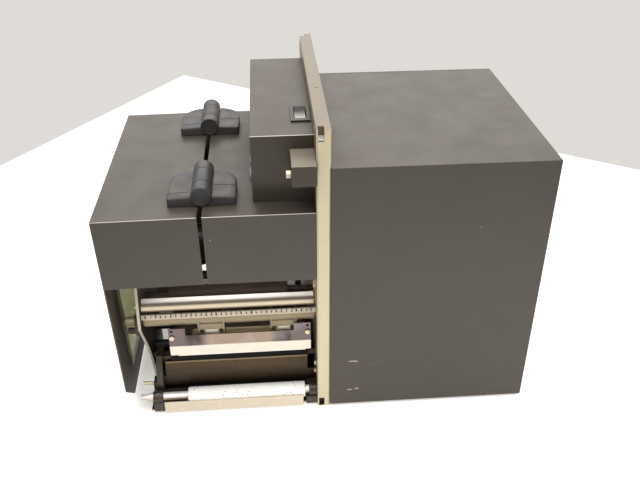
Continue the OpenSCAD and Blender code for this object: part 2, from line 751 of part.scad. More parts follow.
module media_sensor()
  color([0.15, 0.15, 0.15]) difference() {
    block(-90, -76, sensor_rod[0] - 6, sensor_rod[0] + 5, 24, 35);
    rod_x(-91, -75, 2.5 + run, sensor_rod);
  }

// ------------------------------------------------------------------- door

// Everything on the door is drawn from the hinge axis and hangs by the sag
module on_door() translate([hinge_x, 0, hinge_z]) rotate([0, -door_sag, 0]) children();

// The side panel leans inwards from its upper edge
module on_panel()
  on_door() translate([door_out, 0, cover_z]) rotate([0, -door_lean, 0])
    translate([-door_out, 0, -cover_z]) children();

door_bottom = -224.6;
door_cut = 27;           // bevel of the side panel's lower front corner
win_y = [-78, 80];
win_z = [-189, -49];

// Front or back wall of the door, its outer edge cut along the side panel
module door_wall(y0, y1, z)
  translate([0, y1, 0]) rotate([90, 0, 0]) linear_extrude(y1 - y0) polygon([
    [door_out, cover_z], [door_edge, cover_z], [door_edge, z],
    [door_out + (cover_z - z) * tan(door_lean), z]]);

module door_shell()
  color([0.28, 0.27, 0.26]) union() {
    on_door() {
      block(door_out, door_edge, cover_front, cover_back, cover_z - sheet, cover_z);
      door_wall(cover_front, cover_front + sheet, skirt_z - hinge_z);
      door_wall(cover_back - sheet, cover_back, back_z - hinge_z);
    }
    on_panel() difference() {
      block(door_out, door_out + sheet, cover_front, cover_back, door_bottom, cover_z);
      profile_x(door_out - 1, door_out + 3, [
        [cover_front - 1, door_bottom - 1], [cover_front - 1, door_bottom + door_cut + 1],
        [cover_front + door_cut + 1, door_bottom - 1]]);
      block(door_out - 1, door_out + 3, win_y[0], win_y[1], win_z[0], win_z[1]);
    }
  }

module door_window()
  color([0.67, 0.64, 0.48, 0.6]) on_panel()
    block(door_out + sheet, door_out + sheet + 2, win_y[0] - 6, win_y[1] + 6,
          win_z[0] - 6, win_z[1] + 6);

// Hinge wing: a thick block with tight front corners and wide back ones, and
// a groove across its top
groove_ys = [-15.5, -3.6];   // of the door's wing and the fixed one
module wing(side) {
  top = cover_z + wing_t;
  difference() {
    intersection() {
      rotate([90, 0, 0]) linear_extrude(hinge_len, center = true) polygon([
        for (p = [[0, cover_z], [wing_out, cover_z], [wing_out, top - 2.5],
                  [wing_out - 1, top - 1.5], [10, top], [0, top]]) [side * p[0], p[1]]]);
      translate([0, 0, cover_z - 1]) linear_extrude(wing_t + 2) polygon([
        for (p = concat([[0, wing_len / 2], [0, -wing_len / 2]],
                        corner(wing_out - 3, -wing_len / 2 + 3, 3, -90),
                        corner(wing_out - 19, wing_len / 2 - 19, 19, 0))) [side * p[0], p[1]]]);
    }
    block(side < 0 ? -wing_out - 1 : hinge_r, side < 0 ? -hinge_r : wing_out + 1,
          groove_ys[(side + 1) / 2], groove_ys[(side + 1) / 2] + 0.8, top - 2.2, top + 1);
    block(-wing_root, wing_root, -hinge_len, hinge_len, cover_z - 1, 0);
  }
}

module door_hinge_leaves()
  color([0.16, 0.16, 0.17]) on_door() for (y = hinge_ys) translate([0, y, 0])
    difference() {
      union() {
        wing(-1);
        rod_y(-hinge_len / 2, -hinge_mid / 2 - hinge_gap, hinge_r, [0, 0]);
        rod_y(hinge_mid / 2 + hinge_gap, hinge_len / 2, hinge_r, [0, 0]);
      }
      rod_y(-hinge_mid / 2 - hinge_gap, hinge_mid / 2 + hinge_gap, hinge_r + hinge_gap, [0, 0]);
      rod_y(-hinge_len / 2 + 3, hinge_len / 2 - 3, hinge_pin_r + run, [0, 0]);
    }

module fixed_hinge_leaves()
  color([0.16, 0.16, 0.17]) translate([hinge_x, 0, hinge_z]) for (y = hinge_ys)
    translate([0, y, 0]) {
      difference() {
        union() {
          wing(1);
          rod_y(-hinge_mid / 2, hinge_mid / 2, hinge_r, [0, 0]);
        }
        rod_y(-hinge_len / 2 - 1, -hinge_mid / 2, hinge_r + hinge_gap, [0, 0]);
        rod_y(hinge_mid / 2, hinge_len / 2 + 1, hinge_r + hinge_gap, [0, 0]);
      }
      rod_y(-hinge_len / 2 + 4, hinge_len / 2 - 4, hinge_pin_r, [0, 0]);
    }

support_plate();
enclosure_cover();
rear_panel();
power_inlet();
data_ports();
fan_frame();
fan_rotor();
rubber_feet();
main_board();
power_supply();
motor_bracket();
platen_motor();
motor_pulley();
drive_belt();
supply_motor();
takeup_motor();
wiring_harness();
fixed_cover();
control_box();
display_window();
display_module();
pause_key();
feed_key();
cancel_key();
menu_key();
switch_bezel();
power_rocker();
front_bracket();
case_screws();
side_plate();
base_tray();
peel_plate();
static_brush();
cross_rods();
shaft_bearings();
roller_brackets();
platen_shaft();
platen_roller();
platen_pulley();
front_shaft();
front_roller();
front_pulley();
pinch_roller();
guide_roller();
ribbon_roller();
supply_spindle();
takeup_spindle();
toggle_shaft();
toggle_lever();
toggles();
head_carrier();
print_head();
head_guard();
head_screws();
media_guide();
media_sensor();
door_shell();
door_window();
door_hinge_leaves();
fixed_hinge_leaves();
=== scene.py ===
"""Looks of the thermal label print engine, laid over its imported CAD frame.

Each operator dresses one group of pieces. Lengths in the helpers are in
millimetres and become metres when a mesh is finished.
"""
import json
import math

import bmesh
import bpy
from bpy.props import FloatProperty, FloatVectorProperty, IntProperty, PointerProperty
from mathutils import Matrix, Vector


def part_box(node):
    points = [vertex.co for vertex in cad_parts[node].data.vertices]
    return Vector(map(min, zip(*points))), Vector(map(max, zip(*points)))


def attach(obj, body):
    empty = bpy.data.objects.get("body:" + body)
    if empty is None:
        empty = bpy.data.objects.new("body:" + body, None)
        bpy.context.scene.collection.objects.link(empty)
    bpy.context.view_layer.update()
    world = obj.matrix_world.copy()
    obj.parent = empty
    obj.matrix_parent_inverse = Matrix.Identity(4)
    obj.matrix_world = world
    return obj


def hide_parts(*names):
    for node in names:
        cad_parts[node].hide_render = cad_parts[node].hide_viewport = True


bl_info = {
    "name": "Label print engine looks",
    "version": (1, 0, 0),
    "blender": (4, 5, 0),
    "location": "3D View > Sidebar > Print engine",
    "description": "Dresses the CAD frame of a thermal label print engine",
    "category": "Object",
}

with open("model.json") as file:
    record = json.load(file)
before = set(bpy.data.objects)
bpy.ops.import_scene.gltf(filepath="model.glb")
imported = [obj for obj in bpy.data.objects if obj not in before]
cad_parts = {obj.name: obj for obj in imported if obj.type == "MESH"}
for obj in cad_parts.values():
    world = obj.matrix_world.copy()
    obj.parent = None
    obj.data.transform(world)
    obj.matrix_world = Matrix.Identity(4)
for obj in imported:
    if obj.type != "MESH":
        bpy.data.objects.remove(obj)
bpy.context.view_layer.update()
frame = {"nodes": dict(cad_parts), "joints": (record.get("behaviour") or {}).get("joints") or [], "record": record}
RECORD = frame["record"]
BODY_OF = {node: body for body, nodes in RECORD["behaviour"]["bodies"].items() for node in nodes}
JOINTS = {joint["name"]: joint for joint in frame["joints"]}
MM = 0.001


def corners(node):
    """Lowest and highest corner of a CAD node, in millimetres."""
    return [[c / MM for c in corner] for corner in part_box(node)]


def axis_yz(joint):
    """Where a joint's axis runs along X, as (y, z) in millimetres."""
    return [c / MM for c in JOINTS[joint]["pos_m"][1:]]


HINGE_X, _, HINGE_Z = [c / MM for c in JOINTS["door_swing"]["pos_m"]]
PLATE_LOW, PLATE_HIGH = corners("support_plate")
FRONT = axis_yz("front_spin")
GUIDE = axis_yz("guide_spin")
RIBBON = axis_yz("ribbon_spin")
TOGGLE = axis_yz("toggle_turn")


# ---------------------------------------------------------------- settings

def shade(text, value):
    """A colour property; its default is given as 0 to 255 screen values."""
    linear = [((c / 255 + 0.055) / 1.055) ** 2.4 if c > 10 else c / 255 / 12.92 for c in value]
    return FloatVectorProperty(name=text, description=f"Colour of the {text.lower()}",
                               subtype="COLOR", size=3, min=0.0, max=1.0, default=linear)


def length(text, about, millimetres):
    """A length property; its default is given in millimetres."""
    return FloatProperty(name=text, description=about, unit="LENGTH", min=0.0, max=0.05,
                         precision=5, default=millimetres * MM)


class EngineColours(bpy.types.PropertyGroup):
    """Colours of the finishes."""
    case: shade("Case paint", (69, 62, 55))
    control: shade("Control box paint", (60, 52, 43))
    plate: shade("Support plate", (212, 199, 166))
    # Painted shade: the plate colour darkened for the plate's top faces
    plate_top_painted_shade: shade("Support plate edges", (122, 111, 92))
    hinge: shade("Hinge plastic", (60, 59, 58))
    plastic: shade("Black plastic", (38, 37, 37))
    rubber: shade("Rubber", (30, 29, 28))
    brown: shade("Brown plates", (66, 55, 47))
    tan: shade("Tan plated steel", (186, 168, 134))
    tray: shade("Base tray", (220, 206, 184))
    roller: shade("White roller", (248, 246, 241))
    window: shade("Window", (196, 194, 152))
    aluminium: shade("Bare aluminium", (226, 223, 216))
    board: shade("Circuit board", (38, 92, 58))


class EngineSizes(bpy.types.PropertyGroup):
    """Sizes that only the looks need."""
    fold: length("Sheet fold", "Outside radius of a fold in the sheet metal", 0.6)
    break_edge: length("Broken edge", "Width of a machined piece's broken edges", 0.3)
    moulding: length("Moulding radius", "Edge radius of moulded pieces", 0.7)
    cap_groove: length("Cap groove", "Width of the groove across a hinge wing", 0.8)
    door_sag: FloatProperty(name="Door sag", description="Angle by which the closed door hangs",
                            unit="ROTATION", min=0.0, max=0.1, default=math.radians(0.6))
    tufts: IntProperty(name="Tufts", description="Bristle tufts on the static brush",
                       min=2, max=80, default=34)
    tuft_height: length("Tuft height", "Length of a bristle tuft", 3.4)


class StageSettings(bpy.types.PropertyGroup):
    """Camera, table and lamps."""
    lens: FloatProperty(name="Lens", description="Focal length of the camera in millimetres",
                        min=10.0, max=200.0, default=41.75)
    lamp: FloatProperty(name="Top lamp", description="Power of the lamp above", unit="POWER",
                        min=0.0, max=500.0, default=36.0)
    sky: FloatProperty(name="Sky", description="Strength of the light from all round",
                       min=0.0, max=5.0, default=0.4)
    wall: shade("Backdrop", (223, 220, 215))


def sizes():
    """The size settings."""
    return bpy.context.scene.engine_sizes


# ---------------------------------------------------------------- finishes

EVEN = (1.0, 1.0, 1.0)


def feed(tree, socket, value):
    """Links a socket to another node's output, or sets its value."""
    if isinstance(value, bpy.types.NodeSocket):
        tree.links.new(value, socket)
    else:
        socket.default_value = value


class Finish:
    """A material being built on object coordinates, one call for each layer."""

    def __init__(self, name, colour, roughness, metallic=0.0, specular=0.5):
        self.material = bpy.data.materials.new(name)
        self.material.use_nodes = True
        self.tree = self.material.node_tree
        self.shader = self.tree.nodes["Principled BSDF"]
        self.place = self.tree.nodes.new("ShaderNodeTexCoord").outputs
        self.base = colour
        self.colour = (*colour, 1.0)
        self.put("Base Color", self.colour)
        self.put("Roughness", roughness)
        self.put("Metallic", metallic)
        self.put("Specular IOR Level", specular)

    def put(self, name, value):
        """Sets or links a shader input."""
        feed(self.tree, self.shader.inputs[name], value)

    def node(self, kind, **inputs):
        """A new node, with inputs set or linked by name."""
        made = self.tree.nodes.new(kind)
        for name, value in inputs.items():
            feed(self.tree, made.inputs[name.replace("_", " ")], value)
        return made

    def stretched(self, stretch):
        """Object coordinates scaled along each axis."""
        return self.node("ShaderNodeMapping", Vector=self.place["Object"], Scale=stretch).outputs["Vector"]

    def noise(self, scale, detail=2.0, stretch=EVEN, rough=0.5):
        """Noise from 0 to 1; scale is in features per metre."""
        return self.node("ShaderNodeTexNoise", Vector=self.stretched(stretch), Scale=scale,
                         Detail=detail, Roughness=rough).outputs["Fac"]

    def cells(self, scale):
        """Distance to the nearest of scattered points."""
        return self.node("ShaderNodeTexVoronoi", Vector=self.place["Object"],
                         Scale=scale).outputs["Distance"]

    def along(self, axis):
        """One object coordinate, in metres."""
        return self.node("ShaderNodeSeparateXYZ", Vector=self.place["Object"]).outputs[axis]

    def facing(self, axis):
        """How far a face turns along an axis, from -1 to 1."""
        return self.node("ShaderNodeSeparateXYZ", Vector=self.place["Normal"]).outputs[axis]

    def between(self, value, low, high, start=0.0, end=1.0):
        """A value mapped from low..high to start..end, and held there."""
        return self.node("ShaderNodeMapRange", Value=value, From_Min=low, From_Max=high,
                         To_Min=start, To_Max=end).outputs["Result"]

    def sums(self, operation, first, second):
        """One arithmetic step."""
        made = self.tree.nodes.new("ShaderNodeMath")
        made.operation = operation
        feed(self.tree, made.inputs[0], first)
        feed(self.tree, made.inputs[1], second)
        return made.outputs[0]

    def times(self, first, *factors):
        """Several values multiplied."""
        for factor in factors:
            first = self.sums("MULTIPLY", first, factor)
        return first

    def reach(self, value, start, full, still, end):
        """1 from full to still, fading to 0 at start and at end, all in millimetres."""
        return self.times(self.between(value, start * MM, full * MM),
                          self.between(value, end * MM, still * MM))

    def painted_light_bands(self, bands):
        """Painted light, shade and reflection: colours by how far a face turns upwards, as pairs of the normal's Z
        and a colour.
        """
        ramp = self.node("ShaderNodeValToRGB", Fac=self.between(self.facing("Z"), -1.0, 1.0))
        stops = ramp.color_ramp.elements
        for index, (height, colour) in enumerate(bands):
            stop = stops[index] if index < 2 else stops.new(1.0)
            stop.position = (height + 1) / 2
            stop.color = (*colour, 1.0)
        self.colour = ramp.outputs["Color"]
        self.put("Base Color", self.colour)

    def tint(self, factor, colour):
        """Lays a colour over the base colour where factor is 1."""
        made = self.tree.nodes.new("ShaderNodeMix")
        made.data_type = "RGBA"
        under, over = [s for s in made.inputs if s.type == "RGBA"]
        feed(self.tree, under, self.colour)
        over.default_value = (*colour, 1.0)
        feed(self.tree, made.inputs[0], factor)
        self.colour = [s for s in made.outputs if s.type == "RGBA"][0]
        self.put("Base Color", self.colour)

    def patch(self, colour, most, span, noise):
        """Tints in patches of noise, from none at the span's start to most at its end."""
        self.tint(self.between(noise, *span, 0.0, most), colour)

    def tone(self, share, most, span, noise):
        """Patches of the base colour, darkened or lightened by a share."""
        self.patch(toned(self.base, share), most, span, noise)

    def vary_roughness(self, factor, low, high):
        """Roughness that follows a pattern."""
        self.put("Roughness", self.between(factor, 0.3, 0.7, low, high))

    def relief(self, height, depth, strength):
        """Bumps of a depth in millimetres."""
        made = self.node("ShaderNodeBump", Height=height, Strength=strength, Distance=depth * MM)
        self.put("Normal", made.outputs["Normal"])


def toned(colour, *shares):
    """A colour darkened or lightened by one share, or by a share for each channel."""
    shares = shares * 3 if len(shares) == 1 else shares
    return [min(1.0, c * share) for c, share in zip(colour, shares)]


def powder_coat(name, colour):
    """Fine textured powder coat with handling marks and a few pale chips."""
    coat = Finish(name, colour, 0.5)
    coat.tone(1.3, 0.3, (0.35, 0.75), coat.noise(9.0, 3.0, (1.0, 1.0, 0.35)))
    coat.tone(0.5, 0.5, (0.45, 0.75), coat.noise(1500.0, 1.0))
    coat.tone(1.7, 0.3, (0.58, 0.8), coat.noise(160.0, 3.0, (0.06, 1.0, 1.0), 0.7))
    coat.tone(2.0, 0.3, (0.66, 0.8), coat.noise(60.0, 6.0, (1.0, 1.0, 0.25), 0.7))
    chips = coat.times(coat.between(coat.cells(130.0), 0.06, 0.03),
                       coat.between(coat.noise(16.0), 0.6, 0.66))
    coat.tint(chips, (0.75, 0.72, 0.66))
    coat.vary_roughness(coat.noise(40.0, 4.0), 0.46, 0.54)
    coat.relief(coat.noise(900.0), 0.12, 0.55)
    return coat


# Scratches in the box's front: left end, right end, height and half width
SCRATCHES = ((23.6, 31.8, 56.2, 0.7), (31.0, 32.6, 55.4, 1.0),
             (22.4, 27.8, 20.0, 0.7), (29.6, 34.2, 21.0, 0.7))
SCRATCH_FADE = 0.8


def scratched_case(name, colour):
    """The case paint with a few short scratches low on the box's front."""
    coat = powder_coat(name, colour)
    across, height = coat.along("X"), coat.along("Z")
    front_y = corners("enclosure_cover")[0][1]
    front = coat.between(coat.along("Y"), (front_y + 2.6) * MM, (front_y + 2.0) * MM)
    for start, end, level, half in SCRATCHES:
        away = coat.sums("ABSOLUTE", coat.sums("SUBTRACT", height, level * MM), 0.0)
        mark = coat.times(coat.reach(across, start, start + SCRATCH_FADE, end - SCRATCH_FADE, end),
                          coat.between(away, half * MM, half * 0.4 * MM), front)
        coat.tint(mark, (0.55, 0.48, 0.36))
    return coat


def fold_wear_and_painted_highlight(name, colour):
    """Case paint along a fold that faces forward and up: rubbed through in patches, with a painted highlight."""
    made = Finish(name, colour, 0.42)
    wear_and_highlight = made.times(made.between(made.facing("Y"), -0.2, -0.4),
                        made.between(made.facing("Z"), 0.2, 0.4),
                        made.between(made.noise(55.0, 3.0, (0.3, 1.0, 1.0)), 0.2, 0.45))
    # Worn paint and a painted highlight along the folds that face forward and up
    made.tint(wear_and_highlight, (0.72, 0.66, 0.58))
    return made


def moulded_plastic(name, colour, roughness=0.42, grain=0.04, specular=0.5):
    """Moulded plastic with a fine spark-eroded grain."""
    made = Finish(name, colour, roughness, specular=specular)
    made.tone(1.5, 0.35, (0.4, 0.8), made.noise(35.0, 3.0))
    made.vary_roughness(made.noise(80.0, 3.0), roughness - 0.07, roughness + 0.09)
    made.relief(made.noise(2600.0, 1.0), grain, 0.5)
    return made


def hinge_plastic(name, colour):
    """Dusty moulded plastic, brownish in places and bluish in others."""
    made = moulded_plastic(name, colour, 0.42, 0.06, 0.28)
    dust = made.noise(24.0, 3.0)
    made.patch((0.075, 0.068, 0.055), 0.6, (0.5, 0.62), dust)
    made.patch((0.05, 0.053, 0.07), 0.6, (0.5, 0.38), dust)
    made.patch((0.02, 0.02, 0.02), 0.5, (0.52, 0.75), made.noise(330.0, 5.0, (1.0, 0.5, 1.0), 0.75))
    return made


def drawn_metal(name, colour, roughness, stretch, metallic, streak=0.8):
    """Metal with streaks along the direction in which it was drawn, ground or turned."""
    made = Finish(name, colour, roughness, metallic)
    lines = made.noise(900.0, 3.0, stretch, 0.6)
    made.tone(streak, 0.5, (0.35, 0.7), lines)
    made.tone(0.7, 0.4, (0.55, 0.8), made.noise(30.0, 4.0))
    made.vary_roughness(lines, roughness - 0.06, roughness + 0.08)
    made.relief(lines, 0.02, 0.35)
    return made


# Bands of painted reflection round a chromed bar: how far the face turns upwards, and its colour
CHROME_REFLECTION_BANDS = (
    (-0.55, (0.16, 0.11, 0.08)), (-0.3, (0.27, 0.19, 0.13)), (-0.08, (0.72, 0.63, 0.44)),
    (0.32, (0.72, 0.63, 0.44)), (0.5, (0.13, 0.095, 0.065)), (0.74, (0.12, 0.09, 0.06)),
    (0.92, (0.95, 0.89, 0.82)))
SHAFT_REFLECTION_BANDS = ((-0.4, (0.66, 0.52, 0.36)), (0.1, (0.50, 0.38, 0.26)), (0.45, (0.92, 0.9, 0.88)))


def chrome_bar_painted_reflection(name, bands):
    """Chromed bar: painted reflection in light and brown bands along it, and faint turning marks."""
    made = Finish(name, (0.9, 0.88, 0.84), 0.22, metallic=0.35, specular=0.8)
    # Painted reflection: the colour follows how far each face turns upwards
    made.painted_light_bands(bands)
    made.patch((0.5, 0.42, 0.34), 0.35, (0.55, 0.8), made.noise(34.0, 4.0, (1.0, 0.2, 0.2)))
    made.vary_roughness(made.noise(300.0, 2.0, (1.0, 0.1, 0.1)), 0.34, 0.42)
    return made


def plated_bar_painted_shade(name, colour):
    """Satin plated bar with painted shade: darker and browner on its underside, lighter on top."""
    made = Finish(name, colour, 0.36, metallic=0.2)
    # Painted shade and highlight: darker and browner below, lighter on top
    made.painted_light_bands([(height, toned(colour, share)) for height, share in
                 ((-0.2, 0.55), (0.15, 0.6), (0.45, 1.0), (0.8, 1.25), (1.0, 1.0))])
    lines = made.noise(700.0, 3.0, (0.03, 1.0, 1.0), 0.6)
    made.tone(0.75, 0.3, (0.4, 0.7), lines)
    made.tone(0.65, 0.4, (0.55, 0.8), made.noise(45.0, 4.0))
    made.vary_roughness(lines, 0.3, 0.42)
    return made


def painted_steel(name, colour, roughness=0.4):
    """Smooth painted steel with rubbed patches."""
    made = Finish(name, colour, roughness)
    rub = made.noise(45.0, 5.0, rough=0.65)
    made.tone(1.9, 0.5, (0.58, 0.8), rub)
    made.tone(0.6, 0.4, (0.55, 0.8), made.noise(140.0, 3.0))
    made.vary_roughness(rub, roughness - 0.08, roughness + 0.12)
    made.relief(made.noise(600.0), 0.03, 0.4)
    return made


def worn_black(name, colour):
    """Blackened steel with bright rubbed specks."""
    made = Finish(name, colour, 0.3)
    speck = made.noise(420.0, 4.0, rough=0.7)
    made.patch((0.42, 0.36, 0.28), 0.7, (0.6, 0.68), speck)
    made.tone(2.2, 0.5, (0.5, 0.8), made.noise(70.0, 3.0))
    made.vary_roughness(speck, 0.22, 0.4)
    return made


def soft_rubber(name, colour, roughness=0.75):
    """Matte rubber with a ground surface."""
    made = Finish(name, colour, roughness, specular=0.3)
    made.tone(1.6, 0.4, (0.5, 0.8), made.noise(260.0, 4.0))
    made.relief(made.noise(1800.0), 0.05, 0.5)
    return made


def plate_finish(name, colour):
    """Chromated rolled aluminium: rolling streaks, stains and fine scratches."""
    made = Finish(name, colour, 0.42, metallic=0.1)
    streaks = made.noise(700.0, 4.0, (1.0, 1.0, 0.02), 0.6)
    made.tone(0.86, 0.4, (0.4, 0.75), streaks)
    made.tone(0.82, 0.35, (0.5, 0.85), made.noise(22.0, 4.0))
    made.tone(1.15, 0.5, (0.64, 0.8), made.noise(90.0, 5.0, rough=0.7))
    made.vary_roughness(streaks, 0.36, 0.5)
    made.relief(streaks, 0.02, 0.4)
    return made


def roller_finish(name, colour):
    """White silicone sleeve, soiled in patches and pitted here and there."""
    made = Finish(name, colour, 0.62, specular=0.35)
    made.tone(0.82, 0.5, (0.55, 0.85), made.noise(70.0, 5.0, rough=0.7))
    pits = made.times(made.between(made.cells(300.0), 0.24, 0.12),
                      made.between(made.noise(90.0), 0.5, 0.58))
    made.tint(pits, (0.2, 0.17, 0.14))
    made.relief(made.noise(420.0, 4.0), 0.12, 0.6)
    return made


def window_finish(name, colour):
    """Smoked, slightly hazy acrylic."""
    made = Finish(name, colour, 0.16)
    made.put("Transmission Weight", 0.9)
    made.put("IOR", 1.49)
    made.vary_roughness(made.noise(25.0, 3.0), 0.1, 0.24)
    made.relief(made.noise(8.0, 1.0), 0.15, 0.2)
    return made


def mirror_finish(name):
    """Polished stainless guard, smudged, with painted reflection: its upper part tinted brown, darker towards both
    ends and darkest in two patches.
    """
    made = Finish(name, (0.66, 0.61, 0.53), 0.1, metallic=1.0)
    left, right = [corner[0] for corner in corners("head_guard")]
    across = made.along("X")
    upper = made.between(made.along("Z"), 66.5 * MM, 67.5 * MM)
    ends = made.sums("MAXIMUM", made.between(across, (left + 28) * MM, (left + 17) * MM),
                     made.between(across, (right - 21) * MM, (right - 17) * MM))
    darkest_patches = made.sums("MAXIMUM", made.reach(across, left + 14, left + 19, left + 28, left + 39),
                         made.reach(across, right - 40, right - 30, right - 20, right - 17))
    # Painted reflection: the upper part is tinted brown, darker near its ends and darkest in two patches
    made.tint(upper, (0.30, 0.225, 0.175))
    made.tint(made.times(ends, upper), (0.155, 0.12, 0.12))
    made.tint(made.times(darkest_patches, upper, 0.85), (0.045, 0.035, 0.038))
    made.patch((0.5, 0.46, 0.48), 0.4, (0.5, 0.85), made.noise(40.0, 4.0))
    made.vary_roughness(made.noise(120.0, 4.0), 0.06, 0.2)
    return made


def peel_finish(name, colour):
    """Dark plated steel with painted shade, darker towards the bottom, and a painted highlight along its top edge.
    """
    made = Finish(name, colour, 0.34, specular=0.2)
    bottom, top = [corner[2] for corner in corners("peel_plate")]
    height = made.along("Z")
    # Painted shade: dark at the bottom, lighter towards the top
    made.tint(made.between(height, bottom * MM, top * MM), (0.10, 0.062, 0.028))
    # Painted highlight along the top edge
    made.tint(made.between(height, (top - 1.6) * MM, (top - 0.8) * MM, 0.0, 0.8), (0.34, 0.27, 0.17))
    made.patch((0.03, 0.022, 0.016), 0.5, (0.5, 0.8), made.noise(160.0, 3.0, (0.1, 1.0, 1.0)))
    made.vary_roughness(made.noise(60.0, 4.0), 0.24, 0.4)
    return made


def circuit_board(name, colour):
    """Solder mask over faint tracks."""
    made = Finish(name, colour, 0.35)
    tracks = made.noise(160.0, 2.0, (1.0, 3.0, 0.4))
    made.tone(1.9, 0.5, (0.52, 0.56), tracks)
    made.relief(tracks, 0.03, 0.5)
    return made


ALONG_X, ROUND_X, UPRIGHT = (0.05, 1.0, 1.0), (1.0, 0.1, 0.1), (1.0, 1.0, 0.1)

# What makes each finish, from its name and the colour settings
MAKERS = {
    "case": lambda name, c: powder_coat(name, c.case),
    "box": lambda name, c: scratched_case(name, c.case),
    # Worn paint and a painted highlight along the case's forward folds
    "case_wear_and_painted_highlight": lambda name, c: fold_wear_and_painted_highlight(name, c.case),
    # Painted light: a paler copy of the case paint for the bracket's top faces
    "case_top_painted_light": lambda name, c: powder_coat(name, (0.22, 0.19, 0.145)),
    "control": lambda name, c: powder_coat(name, c.control),
    "hinge": lambda name, c: hinge_plastic(name, c.hinge),
    # Painted shade: a darker copy of the hinge plastic for the hinges' front faces
    "hinge_front_painted_shade": lambda name, c: moulded_plastic(name, toned(c.hinge, 0.9), 0.5, 0.06),
    "plate": lambda name, c: plate_finish(name, c.plate),
    # Painted shade: darker copies of the plate finish for its top faces and its left face
    "plate_top_painted_shade": lambda name, c: plate_finish(name, c.plate_top_painted_shade),
    "plate_side_painted_shade": lambda name, c: plate_finish(name, toned(c.plate, 0.44, 0.4, 0.38)),
    # Painted shade on the notch's back wall; bare machined metal, painted near white where it faces up
    "notch_wall_painted_shade": lambda name, c: drawn_metal(name, (0.16, 0.12, 0.08), 0.3, UPRIGHT, 0.3),
    "machined": lambda name, c: drawn_metal(name, (0.95, 0.94, 0.91), 0.3, ALONG_X, 0.4, 0.93),
    "tray": lambda name, c: plate_finish(name, c.tray),
    "side": lambda name, c: painted_steel(name, toned(c.brown, 0.75)),
    "cut_edge": lambda name, c: drawn_metal(name, (0.62, 0.55, 0.42), 0.4, UPRIGHT, 0.4),
    "bracket": lambda name, c: worn_black(name, toned(c.brown, 0.6)),
    "peel": lambda name, c: peel_finish(name, toned(c.brown, 0.05)),
    "guard": lambda name, c: mirror_finish(name),
    # Plated bar with painted shade below and a painted highlight on top
    "tan": lambda name, c: plated_bar_painted_shade(name, c.tan),
    "toggle_foot": lambda name, c: painted_steel(name, (0.8, 0.72, 0.54)),
    "turned": lambda name, c: drawn_metal(name, c.aluminium, 0.24, ROUND_X, 1.0, 0.85),
    "chrome": lambda name, c: chrome_bar_painted_reflection(name, CHROME_REFLECTION_BANDS),
    "chrome_shaft": lambda name, c: chrome_bar_painted_reflection(name, SHAFT_REFLECTION_BANDS),
    "dark_roller": lambda name, c: drawn_metal(name, toned(c.brown, 1.3), 0.35, (0.03, 1.0, 1.0), 0.6),
    "white_roller": lambda name, c: roller_finish(name, c.roller),
    "rubber": lambda name, c: soft_rubber(name, c.rubber),
    "brush": lambda name, c: soft_rubber(name, (0.05, 0.035, 0.03), 0.85),
    "brush_strip": lambda name, c: painted_steel(name, toned(c.tray, 0.86), 0.45),
    "cable": lambda name, c: soft_rubber(name, (0.05, 0.06, 0.16), 0.5),
    "window": lambda name, c: window_finish(name, c.window),
    "smoked": lambda name, c: window_finish(name, toned(c.window, 0.3)),
    "display": lambda name, c: moulded_plastic(name, (0.16, 0.21, 0.13), 0.12, 0.0),
    "lamp_green": lambda name, c: moulded_plastic(name, (0.05, 0.42, 0.10), 0.2),
    "lamp_amber": lambda name, c: moulded_plastic(name, (0.65, 0.30, 0.03), 0.2),
    "keys": lambda name, c: moulded_plastic(name, (0.24, 0.25, 0.27), 0.5),
    "plastic": lambda name, c: moulded_plastic(name, c.plastic),
    "gloss": lambda name, c: moulded_plastic(name, c.plastic, 0.24, 0.02),
    "rocker": lambda name, c: moulded_plastic(name, toned(c.plastic, 1.4), 0.14, 0.0, 0.7),
    "board": lambda name, c: circuit_board(name, c.board),
    "motor": lambda name, c: painted_steel(name, (0.03, 0.03, 0.032), 0.35),
    "zinc": lambda name, c: drawn_metal(name, (0.66, 0.66, 0.65), 0.36, (0.3, 1.0, 0.3), 0.9),
    "screw": lambda name, c: drawn_metal(name, (0.72, 0.63, 0.44), 0.3, (1.0, 0.2, 0.2), 0.6),
}
FINISHES = {}


def finish(name):
    """A finish by name, made the first time that it is asked for."""
    if name not in FINISHES:
        FINISHES[name] = MAKERS[name](name, bpy.context.scene.engine_colours).material
    return FINISHES[name]


# ------------------------------------------------------------------ shapes

FLAT = math.radians(0.6)    # faces nearer to one plane than this are joined
CREASE = math.radians(35)   # edges sharper than this stay sharp, or are rounded
WELD = 0.02 * MM            # corners of a CAD node nearer than this are one
SEAM = 0.00001              # the same where a sleeve closes, in millimetres
SQUARE = 0.9                # a face whose normal passes this is square to the axis


def on_door():
    """Turns a shape drawn round the hinge axis to where the door hangs, in millimetres."""
    return by_hinge() @ Matrix.Rotation(-sizes().door_sag, 4, "Y")


def by_hinge():
    """Moves a shape drawn round the hinge axis to the fixed half, in millimetres."""
    return Matrix.Translation((HINGE_X, 0, HINGE_Z))


def evaluated(piece):
    """A piece's mesh with its modifiers applied."""
    graph = bpy.context.evaluated_depsgraph_get()
    return bpy.data.meshes.new_from_object(piece.evaluated_get(graph), preserve_all_data_layers=True,
                                           depsgraph=graph)


def hold_within(piece, low, high):
    """Turns a rounded piece into a plain mesh whose corners stay inside its node's box."""
    made = evaluated(piece)
    for vertex in made.vertices:
        for axis in range(3):
            vertex.co[axis] = min(max(vertex.co[axis], low[axis] * MM), high[axis] * MM)
    piece.modifiers.clear()
    piece.data = made


def lay_finishes(mesh, names, chooser=None):
    """Gives a mesh its finishes; the chooser names one from a face's centre and normal."""
    for name in names:
        mesh.materials.append(finish(name))
    if chooser:
        for polygon in mesh.polygons:
            polygon.material_index = names.index(chooser(polygon.center / MM, polygon.normal))


